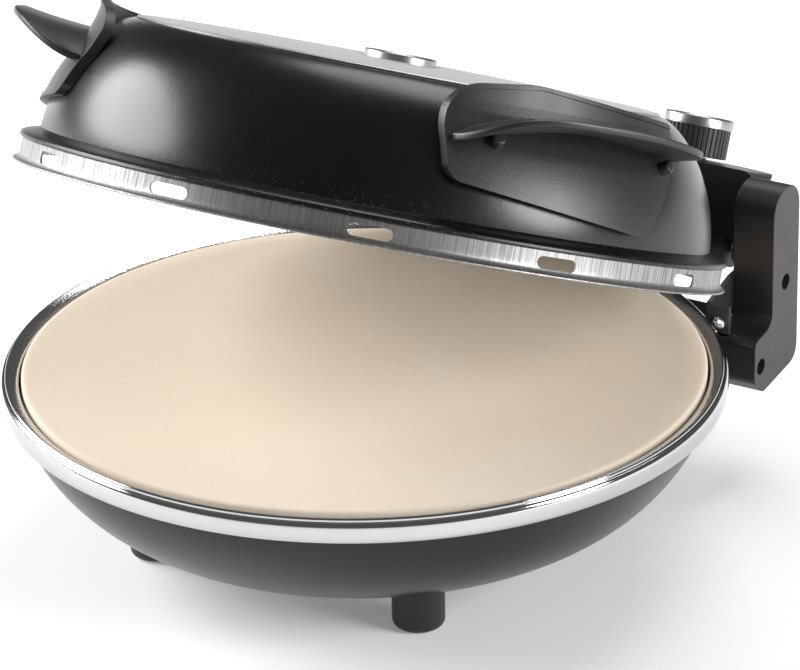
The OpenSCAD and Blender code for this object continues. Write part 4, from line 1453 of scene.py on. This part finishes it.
@dataclass
class KnobAssembly(Assembly):
    """A knob: its ribbed skirt, bright cap and spindle; sizes in millimetres, closed."""

    name: str
    centre: Place
    radius: float = 17.0
    cap_h: float = 5.2
    steps: int = 120

    def finishes(self) -> dict[str, Finish]:
        """Returns each CAD node's finish."""
        return {
            f"{self.name}_knob_body": Moulded((0.02, 0.02, 0.022), (0.035, 0.035, 0.038),
                                              roughness=0.42, grain=0.2),
            f"{self.name}_knob_ring": Brushed((0.44, 0.44, 0.45), (0.28, 0.28, 0.29), 0.28, 0.5,
                                              Grain.ROUND),
            f"{self.name}_spindle": ZINC,
        }

    def build(self, lid: LidFrame) -> dict[str, Piece]:
        """Spins the cap with its sunk top.

        Args:
            lid: the lid's frame.

        Returns:
            The cap by the name of the node that it stands for.
        """
        outline = [(0, 0.05), *near(self.radius, 0, (-0.3, 0.05), (0, 0.35)),
                   *near(self.radius, self.cap_h, (0, -0.8), (-0.2, -0.3), (-0.7, 0), (-1.7, 0),
                         (-2.2, -0.3), (-2.6, -0.75), (-6, -0.7)), (0, self.cap_h - 0.6)]
        piece = Bench.spin(f"{self.name}_knob_cap", outline, self.steps)
        piece.data.transform(lid.to_open() @ Matrix.Translation(MM * Vector(self.centre)))
        return {f"{self.name}_knob_ring": Bench.smooth(piece, SPUN_DEG)}


# ---------------------------------------------------------------- studio


@dataclass(frozen=True)
class PhotoCamera:
    """The photograph's camera: where it stands, how it is turned and its lens."""

    place: Place = (1.0612, -1.6696, 0.9859)
    azimuth_deg: float = 31.572
    elevation_deg: float = 24.164
    roll_deg: float = -0.83
    focal_px: float = 4644.2
    centre_px: tuple[float, float] = (428.3, 337.1)
    frame_px: tuple[int, int] = (800, 670)
    sensor_mm: float = 36.0
    far: float = 50.0

    def build(self) -> None:
        """Adds the camera and makes it the scene's."""
        wide, high = self.frame_px
        data = bpy.data.cameras.new("photo camera")
        data.sensor_fit = "HORIZONTAL"
        data.sensor_width = self.sensor_mm
        data.lens = self.focal_px * self.sensor_mm / wide
        data.shift_x = (wide / 2 - self.centre_px[0]) / wide
        data.shift_y = (self.centre_px[1] - high / 2) / wide
        data.clip_end = self.far
        camera = bpy.data.objects.new("photo camera", data)
        bpy.context.scene.collection.objects.link(camera)
        azimuth, elevation = math.radians(self.azimuth_deg), math.radians(self.elevation_deg)
        ahead = Vector((-math.sin(azimuth) * math.cos(elevation),
                        math.cos(azimuth) * math.cos(elevation), -math.sin(elevation)))
        roll = Quaternion((0, 0, 1), math.radians(self.roll_deg))
        camera.location = self.place
        camera.rotation_mode = "QUATERNION"
        camera.rotation_quaternion = ahead.to_track_quat("-Z", "Y") @ roll
        bpy.context.scene.camera = camera


@dataclass(frozen=True)
class Softbox:
    """One soft studio lamp: its size, place, aim and power."""

    name: str
    place: Place
    aim: Place
    size: tuple[float, float]
    power: float

    def build(self) -> None:
        """Adds the lamp."""
        data = bpy.data.lights.new(self.name, "AREA")
        data.shape = "ELLIPSE"
        data.size, data.size_y = self.size
        data.energy = self.power
        lamp = bpy.data.objects.new(self.name, data)
        bpy.context.scene.collection.objects.link(lamp)
        lamp.location = self.place
        lamp.rotation_mode = "QUATERNION"
        lamp.rotation_quaternion = (Vector(self.aim) - Vector(self.place)).to_track_quat("-Z", "Y")


@dataclass(frozen=True)
class Studio:
    """The white studio: floor, world and lamps."""

    floor_size: float = 14.0
    floor_colour: Colour = grey(0.93)
    floor_roughness: float = 0.9
    floor_sheen: float = 0.1
    floor_lift: float = 0.2
    world_strength: float = 0.12
    lamps: tuple[Softbox, ...] = (
        Softbox("left softbox", (-2.05, -0.5, 1.1), (0, 0, 0.15), (2.3, 1.4), 86.0),
        Softbox("back softbox", (-0.1, 1.3, 2.1), (0, 0, 0.1), (1.7, 1.3), 26.0),
        Softbox("right softbox", (1.85, 0.15, 0.75), (0, 0, 0.15), (0.9, 1.0), 34.0),
    )

    def build(self) -> None:
        """Adds the floor, the world and the lamps, and sets the plain view transform."""
        bpy.context.scene.view_settings.view_transform = "Standard"
        self.build_floor()
        self.build_world()
        for lamp in self.lamps:
            lamp.build()

    @staticmethod
    def seen(tree: Tree, *rays: str) -> Socket:
        """Masks the camera's rays, those through glass, and any others named.

        Args:
            tree: the material's or the world's tree.
            *rays: the Light Path outputs of the other rays.

        Returns:
            The mask.
        """
        path = tree.add("ShaderNodeLightPath").outputs
        mask = path["Is Camera Ray"]
        for ray in ("Is Transmission Ray", *rays):
            mask = tree.math("MAXIMUM", mask, path[ray])
        return mask

    def build_floor(self) -> None:
        """Adds the pale floor, which shows as white beyond the object's shadow."""
        bpy.ops.object.select_all(action="DESELECT")
        bpy.ops.mesh.primitive_plane_add(size=self.floor_size, location=(0, 0, 0))
        floor = bpy.context.object
        floor.name = "studio_floor"
        material = bpy.data.materials.new("floor")
        material.use_nodes = True
        tree = Tree(material.node_tree)
        tree.fill(tree.tree.nodes["Principled BSDF"],
                  {"Base Color": self.floor_colour, "Roughness": self.floor_roughness,
                   "Specular IOR Level": self.floor_sheen,
                   "Emission Color": self.seen(tree, "Is Glossy Ray"),
                   "Emission Strength": self.floor_lift})
        floor.data.materials.append(material)

    def build_world(self) -> None:
        """Adds the world: white to the camera, a grey studio to everything else."""
        world = bpy.data.worlds.new("studio")
        bpy.context.scene.world = world
        world.use_nodes = True
        tree = Tree(world.node_tree)
        strength = tree.add("ShaderNodeMapRange", {"Value": self.seen(tree), "To Max": 1.0,
                                                   "To Min": self.world_strength})
        tree.fill(world.node_tree.nodes["Background"],
                  {"Strength": strength.outputs["Result"], "Color": (1, 1, 1)})


# ---------------------------------------------------------------- main


def read_lid_frame(frame: dict) -> LidFrame:
    """Reads the lid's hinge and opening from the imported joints."""
    joint = next(j for j in frame["joints"] if j["name"] == "lid_hinge")
    return LidFrame(joint["pos_m"][1], joint["pos_m"][2], -joint["range_deg"][0])


def main() -> None:
    """Builds the scene in order."""
    logging.basicConfig(level=logging.INFO, format="%(message)s")
    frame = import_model()
    PhotoCamera().build()
    dresser = Dresser(EffectLibrary(), read_lid_frame(frame))
    for assembly in (BaseAssembly("base", Space.BASE), HingeAssembly("base", Space.BASE),
                     LidAssembly("lid", Space.LID),
                     KnobAssembly("centre_knob", Space.LID, "centre", (0, 0, 162.9)),
                     KnobAssembly("timer_knob", Space.LID, "timer", (67, 184.5, 158.2))):
        assembly.dress(frame, dresser)
    Studio().build()


if __name__ == "__main__":
    main()
